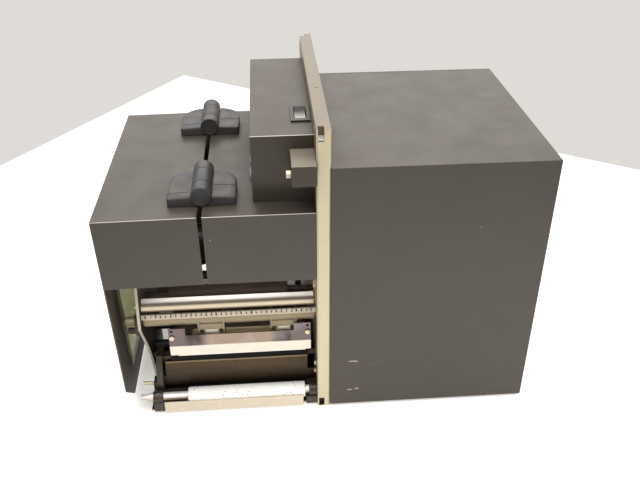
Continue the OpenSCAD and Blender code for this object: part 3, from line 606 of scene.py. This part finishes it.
def show(name, mesh, node, names, rounding=0.0, steps=2, chooser=None, edge_wear_and_highlight=None):
    """Stands a mesh in a CAD node's place, with its finishes and body."""
    lay_finishes(mesh, names, chooser)
    # A finish for the rounded edges alone; on the case it is worn paint with a painted highlight
    if edge_wear_and_highlight:
        mesh.materials.append(finish(edge_wear_and_highlight))
    mesh.polygons.foreach_set("use_smooth", [True] * len(mesh.polygons))
    mesh.set_sharp_from_angle(angle=CREASE)
    piece = bpy.data.objects.new(name, mesh)
    bpy.context.scene.collection.objects.link(piece)
    if rounding > 0:
        bevel = piece.modifiers.new("Rounded edges", "BEVEL")
        bevel.width = rounding
        bevel.segments = steps
        bevel.limit_method = "ANGLE"
        bevel.angle_limit = CREASE
        bevel.harden_normals = True
        bevel.use_clamp_overlap = edge_wear_and_highlight is None
        bevel.material = len(names) if edge_wear_and_highlight else -1
        hold_within(piece, *corners(node))
    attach(piece, BODY_OF[node])
    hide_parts(node)


def dress(node, names, rounding=0.0, steps=2, chooser=None, edge_wear_and_highlight=None):
    """Stands a merged copy of a CAD node, with rounded edges, in the node's place."""
    mesh = frame["nodes"][node].data.copy()
    mesh.materials.clear()
    custom = mesh.attributes.get("custom_normal")
    if custom is not None:
        mesh.attributes.remove(custom)
    shape = bmesh.new()
    shape.from_mesh(mesh)
    bmesh.ops.remove_doubles(shape, verts=shape.verts, dist=WELD)
    bmesh.ops.dissolve_limit(shape, angle_limit=FLAT, verts=shape.verts, edges=shape.edges,
                             use_dissolve_boundaries=False)
    for face in shape.faces:
        face.material_index = 0
    shape.to_mesh(mesh)
    shape.free()
    show(f"{node}_finished", mesh, node, names, rounding, steps, chooser, edge_wear_and_highlight)


def edged(**finish_of):
    """Dresses machined nodes with broken edges, each in its own finish."""
    for node, name in finish_of.items():
        dress(node, (name,), sizes().break_edge)


def moulded(**finish_of):
    """Dresses moulded nodes with rounded edges, each in its own finish."""
    for node, name in finish_of.items():
        dress(node, (name,), sizes().moulding)


def paint(node, *names, chooser=None):
    """Gives a CAD node that keeps its own shape its finishes."""
    mesh = frame["nodes"][node].data
    mesh.materials.clear()
    lay_finishes(mesh, names, chooser)


def arc(centre, radius, start, end, steps):
    """Points on an arc, angles in degrees."""
    x, y = centre
    angles = [math.radians(start + (end - start) * i / steps) for i in range(steps + 1)]
    return [(x + radius * math.cos(angle), y + radius * math.sin(angle)) for angle in angles]


class Form:
    """A mesh under construction, in millimetres."""

    def __init__(self, place=None):
        self.shape = bmesh.new()
        self.place = place or Matrix.Identity(4)

    def rings(self, loops, ends=True):
        """Skins loops of equal count, and closes the ends with a face each."""
        made = [[self.shape.verts.new(p) for p in loop] for loop in loops]
        for one, two in zip(made, made[1:]):
            for i, corner in enumerate(one):
                j = (i + 1) % len(one)
                self.shape.faces.new((corner, one[j], two[j], two[i]))
        if ends:
            self.shape.faces.new(made[0][::-1])
            self.shape.faces.new(made[-1])
        return self

    def turned(self, axis, profile, along="X", segments=48, ends=True):
        """A turned piece: profile is (distance along, radius), axis the other two coordinates."""
        loops = []
        for distance, radius in profile:
            loop = []
            for i in range(segments):
                angle = 2 * math.pi * i / segments
                a, b = axis[0] + radius * math.cos(angle), axis[1] + radius * math.sin(angle)
                loop.append((distance, a, b) if along == "X" else (a, distance, b))
            loops.append(loop)
        return self.rings(loops, ends)

    def sleeve(self, axis, profile, segments):
        """A turned ring: the profile goes round its section and back to its start."""
        self.turned(axis, profile + profile[:1], segments=segments, ends=False)
        bmesh.ops.remove_doubles(self.shape, verts=self.shape.verts, dist=SEAM)
        return self

    def block(self, low, high):
        """A block between two corners."""
        section = ((low[1], low[2]), (high[1], low[2]), (high[1], high[2]), (low[1], high[2]))
        return self.rings([[(x, y, z) for y, z in section] for x in (low[0], high[0])])

    def mesh(self, name):
        """The finished mesh, in metres, with its faces pointing outwards."""
        bmesh.ops.recalc_face_normals(self.shape, faces=self.shape.faces)
        self.shape.transform(Matrix.Scale(MM, 4) @ self.place)
        made = bpy.data.meshes.new(name)
        self.shape.to_mesh(made)
        self.shape.free()
        return made


def cut_with(mesh, cutters):
    """A mesh less other meshes, all in metres."""
    collection = bpy.context.scene.collection
    whole = bpy.data.objects.new("whole", mesh)
    collection.objects.link(whole)
    tools = []
    for cutter in cutters:
        tool = bpy.data.objects.new("tool", cutter)
        collection.objects.link(tool)
        step = whole.modifiers.new("Cut", "BOOLEAN")
        step.operation = "DIFFERENCE"
        step.solver = "EXACT"
        step.object = tool
        tools.append(tool)
    made = evaluated(whole)
    for extra in [whole, *tools]:
        bpy.data.objects.remove(extra)
    return made


def joined(name, meshes):
    """Several meshes as one, their material slots kept in step."""
    shape = bmesh.new()
    finishes = []
    for mesh in meshes:
        start = len(shape.faces)
        shape.from_mesh(mesh)
        shape.faces.ensure_lookup_table()
        own = list(mesh.materials)
        finishes += [each for each in own if each not in finishes]
        if own:
            for face in shape.faces[start:]:
                face.material_index = finishes.index(own[min(face.material_index, len(own) - 1)])
    made = bpy.data.meshes.new(name)
    shape.to_mesh(made)
    shape.free()
    for each in finishes:
        made.materials.append(each)
    return made


# ---------------------------------------------------------- geometry nodes

class Tree:
    """A Geometry Nodes tree with named inputs that ends in Realize Instances and Set Material."""

    def __init__(self, name, inputs):
        self.tree = bpy.data.node_groups.new(name, "GeometryNodeTree")
        self.tree.is_modifier = True
        sockets = self.tree.interface
        sockets.new_socket("Geometry", in_out="INPUT", socket_type="NodeSocketGeometry")
        self.sockets = {}
        for label, kind in inputs.items():
            socket = sockets.new_socket(label, in_out="INPUT", socket_type=f"NodeSocket{kind}")
            self.sockets[label] = socket.identifier
        sockets.new_socket("Geometry", in_out="OUTPUT", socket_type="NodeSocketGeometry")
        self.inputs = self.tree.nodes.new("NodeGroupInput").outputs
        self.out = self.tree.nodes.new("NodeGroupOutput")

    def node(self, kind, inputs, **settings):
        """A new node, its settings, and its inputs set or linked by name."""
        made = self.tree.nodes.new(kind)
        for key, value in settings.items():
            setattr(made, key, value)
        for name, value in inputs.items():
            feed(self.tree, made.inputs[name], value)
        return made

    def end(self, geometry, material):
        """Realizes the instances and gives them their finish."""
        real = self.node("GeometryNodeRealizeInstances", {"Geometry": geometry})
        last = self.node("GeometryNodeSetMaterial",
                         {"Geometry": real.outputs[0], "Material": finish(material)})
        self.tree.links.new(last.outputs[0], self.out.inputs[0])

    def grow(self, name, values):
        """Runs the tree and returns the result as a plain mesh."""
        seed = bpy.data.objects.new(name, bpy.data.meshes.new(name))
        bpy.context.scene.collection.objects.link(seed)
        run = seed.modifiers.new("Grow", "NODES")
        run.node_group = self.tree
        for label, value in values.items():
            run[self.sockets[label]] = value
        made = evaluated(seed)
        bpy.data.objects.remove(seed)
        return made


# --------------------------------------------------------------- operators

class EngineOperator(bpy.types.Operator):
    """What the engine's operators have in common."""
    bl_options = {"REGISTER", "UNDO"}


class ENGINE_OT_support_plate(EngineOperator):
    """Dress the thick aluminium support plate."""
    bl_idname = "engine.support_plate"
    bl_label = "Support plate"

    def execute(self, context):
        front, notch_z, pocket_z = PLATE_LOW[1], PLATE_HIGH[2] - 13, 12.0
        notch_back, pocket_back = front + 9, front + 5
        channel_x, channel_half = -2.0, 2.7

        def chooser(centre, normal):
            in_channel = abs(centre.x - channel_x) < channel_half
            # The notch floor: bare machined metal, painted near white as lit from above
            if centre.z > notch_z and centre.y < notch_back and in_channel and normal.z > SQUARE:
                return "machined"
            # Painted shade on the notch's back wall
            if centre.z > notch_z and front + 1 < centre.y < front + 20 and normal.y < -SQUARE:
                return "notch_wall_painted_shade"
            # Painted shade: the pocket's faces take the dark blackened-steel finish
            if centre.z < pocket_z and front + 0.1 < centre.y < pocket_back and in_channel:
                return "bracket"
            # Painted shade on the plate's top faces and its left face
            if normal.z > SQUARE:
                return "plate_top_painted_shade"
            return "plate_side_painted_shade" if normal.x < -SQUARE else "plate"

        dress("support_plate", ("plate", "plate_top_painted_shade", "machined", "bracket", "plate_side_painted_shade", "notch_wall_painted_shade"),
              sizes().break_edge, chooser=chooser)
        return {"FINISHED"}


class ENGINE_OT_enclosure(EngineOperator):
    """Dress the electronics box, its back wall and its feet."""
    bl_idname = "engine.enclosure"
    bl_label = "Electronics box"

    def execute(self, context):
        dress("enclosure_cover", ("box",), sizes().fold, 3)
        edged(rear_panel="case")
        moulded(rubber_feet="rubber")
        edged(power_inlet="gloss", data_ports="zinc", fan_frame="plastic")
        dress("fan_rotor", ("plastic",))
        return {"FINISHED"}


class ENGINE_OT_electronics(EngineOperator):
    """Finish what is inside the electronics box."""
    bl_idname = "engine.electronics"
    bl_label = "Electronics and drive"

    def execute(self, context):
        bare_face, parts_face, standoffs = 149.5, 152.0, 156.0

        def board(centre, normal):
            if abs(normal.x) > SQUARE and bare_face < centre.x < parts_face:
                return "board"
            return "zinc" if centre.x > standoffs else "plastic"

        paint("main_board", "board", "plastic", "zinc", chooser=board)
        edged(motor_bracket="zinc")
        moulded(platen_motor="motor")
        for node in ("motor_pulley", "platen_pulley", "front_pulley"):
            paint(node, "turned")
        for node in ("power_supply", "supply_motor", "takeup_motor"):
            paint(node, "zinc")
        paint("wiring_harness", "cable")
        paint("drive_belt", "rubber")
        return {"FINISHED"}


class ENGINE_OT_media_cover(EngineOperator):
    """Dress both halves of the sheet-metal media cover."""
    bl_idname = "engine.media_cover"
    bl_label = "Media cover"

    def execute(self, context):
        for node in ("fixed_cover", "door_shell"):
            dress(node, ("case",), sizes().fold, 3, edge_wear_and_highlight="case_wear_and_painted_highlight")
        return {"FINISHED"}


class ENGINE_OT_door_window(EngineOperator):
    """Dress the window in the door."""
    bl_idname = "engine.door_window"
    bl_label = "Window"

    def execute(self, context):
        edged(door_window="window")
        return {"FINISHED"}


# A hinge, drawn round its axis: a flat wing to each side of a barrel of knuckles. BEYOND is past
# every edge, for the cutters
WING_REACH = 29.5
WING_HALF = 25.6
WING_ROOT = 5.0
WING_BASE = -9.4
WING_RISE = 9.0
WING_CROWN = 1.5
FRONT_CORNER = 3.0
BACK_CORNER = 19.0
GROOVE_DEPTH = 2.6
DOOR_GROOVE = -15.1
FIXED_GROOVE = -3.2
KNUCKLE_R = 8.9
KNUCKLE_HALF = 12.0
KNUCKLE_GAP = 0.3
BARREL_HALF = 27.2
CHAMFER = 0.6
BEYOND = 40.0


def wing_outline(side, inset):
    """Plan of a hinge wing: tight corner in front, wide one behind, drawn in by inset."""
    reach, half = WING_REACH - inset, WING_HALF - inset
    front = FRONT_CORNER - min(inset, FRONT_CORNER - 1)
    back = BACK_CORNER - min(inset, BACK_CORNER - 4)
    points = [(WING_ROOT, -half)] + arc((reach - front, -half + front), front, -90, 0, 8)
    points += arc((reach - back, half - back), back, 0, 90, 12) + [(WING_ROOT, half)]
    return [(side * x, y) for x, y in points]


def wing_loops(side, y):
    """Loops of a thick wing from its base to its nearly flat top."""
    low = [[(x, y + yy, WING_BASE + height) for x, yy in wing_outline(side, inset)]
           for inset, height in ((0.4, 0.0), (0.0, 0.5))]
    high = [[(x, y + yy, WING_BASE + WING_RISE - drop - WING_CROWN * (x / WING_REACH) ** 2)
             for x, yy in wing_outline(side, inset)]
            for inset, drop in ((0.0, 1.1), (0.15, 0.6), (0.5, 0.2), (1.1, 0.0), (5.0, 0.0), (9.0, 0.0))]
    return low + high


class ENGINE_OT_hinges(EngineOperator):
    """Model the two moulded friction hinges, one leaf on the door and one on the fixed half."""
    bl_idname = "engine.hinges"
    bl_label = "Hinges"

    def wing(self, place, side, y, groove):
        """One wing, its cap groove, and the room for the other leaf's knuckle."""
        body = Form(place).rings(wing_loops(side, y)).mesh("wing")
        half = sizes().cap_groove / MM / 2
        left, right = sorted((side * KNUCKLE_R, side * BEYOND))
        cutters = [Form(place).block((left, y + groove - half, WING_BASE + WING_RISE - GROOVE_DEPTH),
                                     (right, y + groove + half, BEYOND)).mesh("groove")]
        room = KNUCKLE_R + KNUCKLE_GAP
        spans = [(-KNUCKLE_HALF - KNUCKLE_GAP, KNUCKLE_HALF + KNUCKLE_GAP)]
        if side > 0:
            spans = [(-BEYOND, -KNUCKLE_HALF), (KNUCKLE_HALF, BEYOND)]
        for low, high in spans:
            cutter = Form(place).turned((0, 0), [(y + low, room), (y + high, room)], "Y", 40)
            cutters.append(cutter.mesh("room"))
        return cut_with(body, cutters)

    def knuckle(self, place, low, high, y, front=False):
        """One knuckle of the barrel; the front one ends in a recessed disc."""
        profile = [(y + low, KNUCKLE_R - CHAMFER), (y + low + CHAMFER, KNUCKLE_R),
                   (y + high - CHAMFER, KNUCKLE_R), (y + high, KNUCKLE_R - CHAMFER)]
        if front:
            profile = [(y + low + 0.7, KNUCKLE_R - 1.9), (y + low, KNUCKLE_R - 1.6)] + profile
        return Form(place).turned((0, 0), profile, "Y", 56).mesh("knuckle")

    def execute(self, context):
        low, high = corners("fixed_hinge_leaves")
        middle, reach = (low[1] + high[1]) / 2, (high[1] - low[1]) / 2 - WING_HALF
        doors, fixed = [], []
        for y in (middle - reach, middle + reach):
            doors.append(self.wing(on_door(), -1, y, DOOR_GROOVE))
            doors.append(self.knuckle(on_door(), -BARREL_HALF, -KNUCKLE_HALF - KNUCKLE_GAP, y, True))
            doors.append(self.knuckle(on_door(), KNUCKLE_HALF + KNUCKLE_GAP, BARREL_HALF, y))
            fixed.append(self.wing(by_hinge(), 1, y, FIXED_GROOVE))
            fixed.append(self.knuckle(by_hinge(), -KNUCKLE_HALF, KNUCKLE_HALF, y))

        def chooser(centre, normal):
            # Painted shade: the front faces take the darker copy of the plastic
            front = normal.y < -0.8 and centre.z > HINGE_Z + WING_BASE + CHAMFER
            return "hinge_front_painted_shade" if front else "hinge"

        for side, leaves in (("door", doors), ("fixed", fixed)):
            show(f"{side}_hinge_leaf_mouldings", joined(f"{side}_leaves", leaves), f"{side}_hinge_leaves",
                 ("hinge", "hinge_front_painted_shade"), chooser=chooser)
        return {"FINISHED"}


class ENGINE_OT_control_box(EngineOperator):
    """Dress the control box with its display, lamps and keys."""
    bl_idname = "engine.control_box"
    bl_label = "Control box"

    def execute(self, context):
        dress("control_box", ("control",), sizes().fold, 3, edge_wear_and_highlight="case_wear_and_painted_highlight")
        edged(display_window="smoked")
        board_x = corners("control_box")[0][0] + 9
        lamp_z, green_y = 262, -58
        display_y, display_z = -30, (250, 270)

        def module(centre, normal):
            if centre.x > board_x:
                return "board"
            if display_z[0] < centre.z < display_z[1] and centre.y > display_y:
                return "display"
            if abs(centre.z - lamp_z) < 2.5:
                return "lamp_green" if centre.y < green_y else "lamp_amber"
            return "plastic"

        paint("display_module", "board", "display", "lamp_green", "lamp_amber", "plastic", chooser=module)
        for key in ("pause_key", "feed_key", "cancel_key", "menu_key"):
            dress(key, ("keys",), sizes().moulding * 0.6, 3)
        return {"FINISHED"}


class ENGINE_OT_power_switch(EngineOperator):
    """Dress the power rocker and its bezel."""
    bl_idname = "engine.power_switch"
    bl_label = "Power switch"

    def execute(self, context):
        top = corners("switch_bezel")[1][2] - 0.3

        def rim(centre, normal):
            return "control" if normal.z > SQUARE and centre.z > top else "plastic"

        dress("switch_bezel", ("plastic", "control"), sizes().moulding * 0.7, 3, chooser=rim)
        dress("power_rocker", ("rocker",), sizes().moulding * 0.7, 3)
        return {"FINISHED"}


class ENGINE_OT_front_bracket(EngineOperator):
    """Dress the small bracket beside the control box."""
    bl_idname = "engine.front_bracket"
    bl_label = "Front bracket"

    def execute(self, context):
        def ledge(centre, normal):
            # Painted light: the top faces take the paler copy of the paint
            return "case_top_painted_light" if normal.z > SQUARE else "control"

        dress("front_bracket", ("control", "case_top_painted_light"), sizes().fold, 3, chooser=ledge)
        return {"FINISHED"}


class ENGINE_OT_screws(EngineOperator):
    """Finish the screws of the case and the plates."""
    bl_idname = "engine.screws"
    bl_label = "Screws"

    def execute(self, context):
        for node in ("case_screws", "head_screws"):
            dress(node, ("screw",), sizes().break_edge, 3)
        return {"FINISHED"}


class ENGINE_OT_mechanism_frame(EngineOperator):
    """Dress the plates, rods and brackets that carry the print mechanism."""
    bl_idname = "engine.mechanism_frame"
    bl_label = "Mechanism frame"

    def execute(self, context):
        lip_back = -80.0

        def sheet(centre, normal):
            return "side" if abs(normal.x) > 0.5 else "cut_edge"

        # Painted shade: the tray behind the lip, deep under the mechanism, takes the dark side-plate finish
        def floor(centre, normal):
            return "side" if centre.y > lip_back else "tray"

        dress("side_plate", ("side", "cut_edge"), chooser=sheet)
        dress("base_tray", ("tray", "side"), sizes().break_edge, chooser=floor)
        edged(cross_rods="motor", shaft_bearings="turned", roller_brackets="bracket", peel_plate="peel")
        return {"FINISHED"}


class ENGINE_OT_static_brush(EngineOperator):
    """Grow the bristle tufts of the static brush along its rail."""
    bl_idname = "engine.static_brush"
    bl_label = "Static brush"

    def tuft_tree(self):
        """A row of tufts, each with its own lean and size."""
        tree = Tree("Bristle tufts", {"Count": "Int", "Start": "Vector", "Step": "Vector",
                                      "Height": "Float", "Seed": "Int"})
        given = tree.inputs
        line = tree.node("GeometryNodeMeshLine", {
            "Count": given["Count"], "Start Location": given["Start"], "Offset": given["Step"]})
        tuft = tree.node("GeometryNodeMeshCone", {
            "Vertices": 6, "Side Segments": 2, "Radius Top": 0.45 * MM, "Radius Bottom": 0.8 * MM,
            "Depth": given["Height"]})
        lean = tree.node("FunctionNodeRandomValue", {
            "Min": (-0.28, -0.2, -3.1), "Max": (0.28, 0.2, 3.1), "Seed": given["Seed"]},
            data_type="FLOAT_VECTOR")
        size = tree.node("FunctionNodeRandomValue", {
            "Min": (0.7, 0.5, 0.75), "Max": (1.3, 0.9, 1.15), "Seed": given["Seed"]},
            data_type="FLOAT_VECTOR")
        placed = tree.node("GeometryNodeInstanceOnPoints", {
            "Points": line.outputs[0], "Instance": tuft.outputs[0],
            "Rotation": lean.outputs["Value"], "Scale": size.outputs["Value"]})
        tree.end(placed.outputs[0], "brush")
        return tree

    def execute(self, context):
        low, high = corners("static_brush")
        rail = Form().block((low[0], low[1] + 0.6, low[2]), (high[0], high[1], high[2] - 0.4)).mesh("rail")
        rail.materials.append(finish("brush_strip"))
        count, height, margin = sizes().tufts, sizes().tuft_height, 4.0
        step = (high[0] - low[0] - 2 * margin) / (count - 1)
        tufts = self.tuft_tree().grow("tufts", {
            "Count": count, "Step": [step * MM, 0.0, 0.0], "Height": height, "Seed": 4,
            "Start": [(low[0] + margin) * MM, (low[1] + 0.5) * MM, high[2] * MM - height]})
        show("static_brush_bristles", joined("brush", [rail, tufts]), "static_brush", ())
        return {"FINISHED"}


class ENGINE_OT_rollers(EngineOperator):
    """Turn the rollers and shafts with their ends, clips and grooves."""
    bl_idname = "engine.rollers"
    bl_label = "Rollers"

    def bar(self, node, finish_name, axis, segments, profile):
        """A turned bar in a node's place."""
        mesh = Form().turned(axis, profile, segments=segments).mesh(node)
        show(f"{node}_bar", mesh, node, (finish_name,))

    def execute(self, context):
        left, right = corners("side_plate")[1][0], PLATE_LOW[0]
        buried = right + 4.8
        self.bar("guide_roller", "chrome", GUIDE, 72, [
            (left - 5.8, 2.6), (left - 5.4, 3.0), (left + 0.3, 3.0), (left + 0.3, 5.4), (left + 1.0, 6.35),
            (right - 1.6, 6.35), (right - 1.0, 5.2), (right - 1.0, 3.0), (buried, 3.0)])
        start, end = left + 23, right - 25
        self.bar("ribbon_roller", "dark_roller", RIBBON, 64, [
            (left - 3.5, 2.6), (left - 3.0, 3.0), (start, 3.0), (start, 7.4), (start + 0.6, 8.0),
            (end - 0.6, 8.0), (end, 7.4), (end, 3.0), (buried, 3.0)])
        self.bar("toggle_shaft", "tan", TOGGLE, 64, [
            (left - 16.8, 3.9), (left - 16.2, 4.5), (left - 7.6, 4.5), (left - 7.6, 4.0), (left + 0.9, 4.0),
            (left + 0.9, 5.6), (left + 1.3, 6.0), (right - 1.3, 6.0), (right - 0.9, 5.6),
            (right - 0.9, 4.0), (buried, 4.0)])
        start, end = [corner[0] for corner in corners("front_shaft")]
        self.bar("front_shaft", "chrome_shaft", FRONT, 56, [
            (start, 1.4), (start, 2.6), (start + 0.6, 3.0), (start + 6.4, 3.0), (start + 6.4, 4.0),
            (start + 10.0, 4.0), (start + 10.2, 5.0), (start + 11.9, 5.0), (start + 12.1, 4.0),
            (end - 0.6, 4.0), (end, 3.5)])
        start, end = [corner[0] for corner in corners("front_roller")]
        sleeve = Form().sleeve(FRONT, [
            (start + 0.4, 4.0), (start, 4.6), (start, 7.2), (start + 0.6, 7.75),
            (end - 0.6, 7.75), (end, 7.2), (end, 4.6), (end - 0.4, 4.0)], 72)
        show("front_roller_sleeve", sleeve.mesh("front_roller"), "front_roller", ("white_roller",))
        edged(platen_roller="rubber", platen_shaft="dark_roller", pinch_roller="rubber")
        return {"FINISHED"}


class ENGINE_OT_spindles(EngineOperator):
    """Dress the two ribbon spindles."""
    bl_idname = "engine.spindles"
    bl_label = "Ribbon spindles"

    def execute(self, context):
        moulded(supply_spindle="plastic", takeup_spindle="plastic")
        return {"FINISHED"}


class ENGINE_OT_toggles(EngineOperator):
    """Dress the pressure toggles and their lever."""
    bl_idname = "engine.toggles"
    bl_label = "Toggles"

    def execute(self, context):
        foot_top = TOGGLE[1] - 10.5

        def part(centre, normal):
            return "toggle_foot" if centre.z < foot_top and abs(normal.x) < 0.99 else "tan"

        dress("toggles", ("tan", "toggle_foot"), sizes().break_edge, chooser=part)
        edged(toggle_lever="side")
        return {"FINISHED"}


class ENGINE_OT_print_head(EngineOperator):
    """Dress the head carrier, the print head and its polished guard."""
    bl_idname = "engine.print_head"
    bl_label = "Print head"

    def execute(self, context):
        strip_z = 72.4

        def strip(centre, normal):
            return "tan" if normal.z > SQUARE and abs(centre.z - strip_z) < 0.4 else "side"

        dress("head_carrier", ("side", "tan"), sizes().break_edge, chooser=strip)
        edged(print_head="turned")
        dress("head_guard", ("guard",), sizes().break_edge * 0.5)
        return {"FINISHED"}


class ENGINE_OT_web_guides(EngineOperator):
    """Dress the label guide and the label sensor."""
    bl_idname = "engine.web_guides"
    bl_label = "Label guide and sensor"

    def execute(self, context):
        moulded(media_guide="plastic", media_sensor="plastic")
        return {"FINISHED"}


# The camera stands in front of the machine and looks down on it
CAMERA_PLACE = (-0.04299, -0.65523, 0.52888)
CAMERA_YAW = math.radians(4.24)
CAMERA_PITCH = math.radians(32.0)
CAMERA_ROLL = math.radians(-0.19)
SENSOR_WIDTH = 36.0

# The table's rim, how far it lies below the feet, and how brightly it shows to the eye
TABLE_RIM = ((-1.087, -0.5), (1.82, -0.5), (-0.215, 0.86))
TABLE_DROP = 0.3 * MM
TABLE_GLOW = 0.42

# The table's painted shade under the mechanism ends at the first number, and open air begins at the
# second, both in millimetres along the axis
OPEN_AIR = (("X", -190, -220), ("X", 0, 30), ("Y", 50, 20), ("Y", 105, 125))

# Lamps: place, target, width and depth, share of the top lamp's power, colour, and the rays that
# don't see it
LAMPS = {
    "lamp_above": ((0.1, -0.25, 1.7), (0.0, 0.0, 0.1), (2.4, 2.0), 1.0, EVEN, None),
    "lamp_behind": ((0.0, 1.7, 1.25), (0.0, 0.0, 0.2), (2.4, 1.0), 0.58, (1.0, 0.95, 0.9), "diffuse"),
    "lamp_front": ((-0.1, -1.7, 1.0), (0.0, 0.0, 0.1), (1.8, 0.9), 0.03, EVEN, None),
    "lamp_low": ((0.1, -0.46, 0.03), (0.1, 0.0, 0.04), (0.6, 0.06), 0.013, EVEN, "glossy"),
    "lamp_inside": ((-0.086, -0.082, 0.152), (-0.086, -0.098, 0.1), (0.14, 0.016), 0.0018, EVEN, "glossy"),
}


class ENGINE_OT_stage(EngineOperator):
    """Set up the camera, the table, the backdrop and the lamps."""
    bl_idname = "engine.stage"
    bl_label = "Stage"

    def camera(self, settings):
        """The camera in front of the machine, looking down on it."""
        ahead = Vector((math.sin(CAMERA_YAW) * math.cos(CAMERA_PITCH),
                        math.cos(CAMERA_YAW) * math.cos(CAMERA_PITCH), -math.sin(CAMERA_PITCH)))
        level = Vector((math.cos(CAMERA_YAW), -math.sin(CAMERA_YAW), 0.0))
        upward = level.cross(ahead)
        right = level * math.cos(CAMERA_ROLL) + upward * math.sin(CAMERA_ROLL)
        up = upward * math.cos(CAMERA_ROLL) - level * math.sin(CAMERA_ROLL)
        data = bpy.data.cameras.new("camera")
        data.lens = settings.lens
        data.sensor_width = SENSOR_WIDTH
        data.clip_start = 0.01
        camera = bpy.data.objects.new("camera", data)
        turn = Matrix((right, up, -ahead)).transposed().to_4x4()
        camera.matrix_world = Matrix.Translation(CAMERA_PLACE) @ turn
        bpy.context.scene.collection.objects.link(camera)
        bpy.context.scene.camera = camera

    def table_top(self):
        """White in the open air, where it glows for the eye, and dark with painted shade under the mechanism."""
        top = Finish("table_top", (0.93, 0.925, 0.91), 0.55, specular=0.2)
        top.patch((0.86, 0.85, 0.82), 0.5, (0.5, 0.8), top.noise(9.0, 4.0))
        open_air = 0.0
        for axis, start, full in OPEN_AIR:
            clear = top.between(top.along(axis), start * MM, full * MM)
            open_air = top.sums("MAXIMUM", open_air, clear)
        # Painted shade: the table is tinted dark under the mechanism
        top.tint(top.sums("SUBTRACT", 1.0, open_air), (0.12, 0.11, 0.10))
        rays = top.node("ShaderNodeLightPath").outputs
        seen = top.sums("MAXIMUM", rays["Is Camera Ray"], rays["Is Transmission Ray"])
        seen = top.sums("MAXIMUM", seen, rays["Is Glossy Ray"])
        top.put("Emission Color", (1.0, 0.98, 0.93, 1.0))
        top.put("Emission Strength", top.times(seen, open_air, TABLE_GLOW))
        return top.material

    def table(self):
        """A white table that keeps the machine's shadow."""
        mesh = bpy.data.meshes.new("table")
        mesh.from_pydata([(x, y, -TABLE_DROP) for x, y in TABLE_RIM], [], [range(len(TABLE_RIM))])
        mesh.materials.append(self.table_top())
        table = bpy.data.objects.new("table", mesh)
        bpy.context.scene.collection.objects.link(table)

    def sky(self, settings):
        """A pale backdrop for the eye and for reflections, and soft light for the rest."""
        world = bpy.data.worlds.new("studio")
        world.use_nodes = True
        bpy.context.scene.world = world
        tree = world.node_tree
        light = tree.nodes["Background"]
        light.inputs["Color"].default_value = (1.0, 0.985, 0.96, 1.0)
        light.inputs["Strength"].default_value = settings.sky
        wall = tree.nodes.new("ShaderNodeBackground")
        wall.inputs["Color"].default_value = (*settings.wall, 1.0)
        rays = tree.nodes.new("ShaderNodeLightPath").outputs
        seen = rays["Is Camera Ray"]
        for kind in ("Is Glossy Ray", "Is Transmission Ray"):
            either = tree.nodes.new("ShaderNodeMath")
            either.operation = "MAXIMUM"
            feed(tree, either.inputs[0], seen)
            feed(tree, either.inputs[1], rays[kind])
            seen = either.outputs[0]
        mix = tree.nodes.new("ShaderNodeMixShader")
        for socket, source in zip(mix.inputs, (seen, light.outputs[0], wall.outputs[0])):
            feed(tree, socket, source)
        feed(tree, tree.nodes["World Output"].inputs["Surface"], mix.outputs[0])

    def lamp(self, name, power):
        """A soft square lamp turned to its target."""
        place, target, size, share, colour, unseen_by = LAMPS[name]
        data = bpy.data.lights.new(name, "AREA")
        data.shape = "RECTANGLE"
        data.size, data.size_y = size
        data.energy = power * share
        data.color = colour
        lamp = bpy.data.objects.new(name, data)
        turn = (Vector(target) - Vector(place)).to_track_quat("-Z", "Y").to_matrix().to_4x4()
        lamp.matrix_world = Matrix.Translation(place) @ turn
        lamp.visible_camera = False
        if unseen_by:
            setattr(lamp, f"visible_{unseen_by}", False)
        bpy.context.scene.collection.objects.link(lamp)

    def execute(self, context):
        settings = context.scene.engine_stage
        context.scene.view_settings.view_transform = "Standard"
        self.camera(settings)
        self.table()
        self.sky(settings)
        for name in LAMPS:
            self.lamp(name, settings.lamp)
        return {"FINISHED"}


OPERATORS = (
    ENGINE_OT_stage, ENGINE_OT_support_plate, ENGINE_OT_enclosure, ENGINE_OT_electronics,
    ENGINE_OT_media_cover, ENGINE_OT_door_window, ENGINE_OT_hinges, ENGINE_OT_control_box,
    ENGINE_OT_power_switch, ENGINE_OT_front_bracket, ENGINE_OT_screws, ENGINE_OT_mechanism_frame,
    ENGINE_OT_static_brush, ENGINE_OT_rollers, ENGINE_OT_spindles, ENGINE_OT_toggles,
    ENGINE_OT_print_head, ENGINE_OT_web_guides)


class ENGINE_PT_panel(bpy.types.Panel):
    """Lists the settings and the operators."""
    bl_idname = "ENGINE_PT_panel"
    bl_label = "Print engine"
    bl_space_type = "VIEW_3D"
    bl_region_type = "UI"
    bl_category = "Print engine"

    def draw(self, context):
        layout = self.layout
        for name in GROUPS:
            group = getattr(context.scene, name)
            box = layout.box()
            for setting in group.__annotations__:
                box.prop(group, setting)
        for operator in OPERATORS:
            layout.operator(operator.bl_idname)


GROUPS = {"engine_colours": EngineColours, "engine_sizes": EngineSizes, "engine_stage": StageSettings}


def register():
    """Registers the classes and hangs the settings on the scene."""
    for name, group in GROUPS.items():
        bpy.utils.register_class(group)
        setattr(bpy.types.Scene, name, PointerProperty(type=group))
    for each in (*OPERATORS, ENGINE_PT_panel):
        bpy.utils.register_class(each)


def unregister():
    """Undoes register."""
    for each in (ENGINE_PT_panel, *reversed(OPERATORS)):
        bpy.utils.unregister_class(each)
    for name, group in reversed(GROUPS.items()):
        delattr(bpy.types.Scene, name)
        bpy.utils.unregister_class(group)


def main():
    """Makes the whole model."""
    register()
    for operator in OPERATORS:
        group, name = operator.bl_idname.split(".")
        getattr(getattr(bpy.ops, group), name)()


if __name__ == "__main__":
    main()
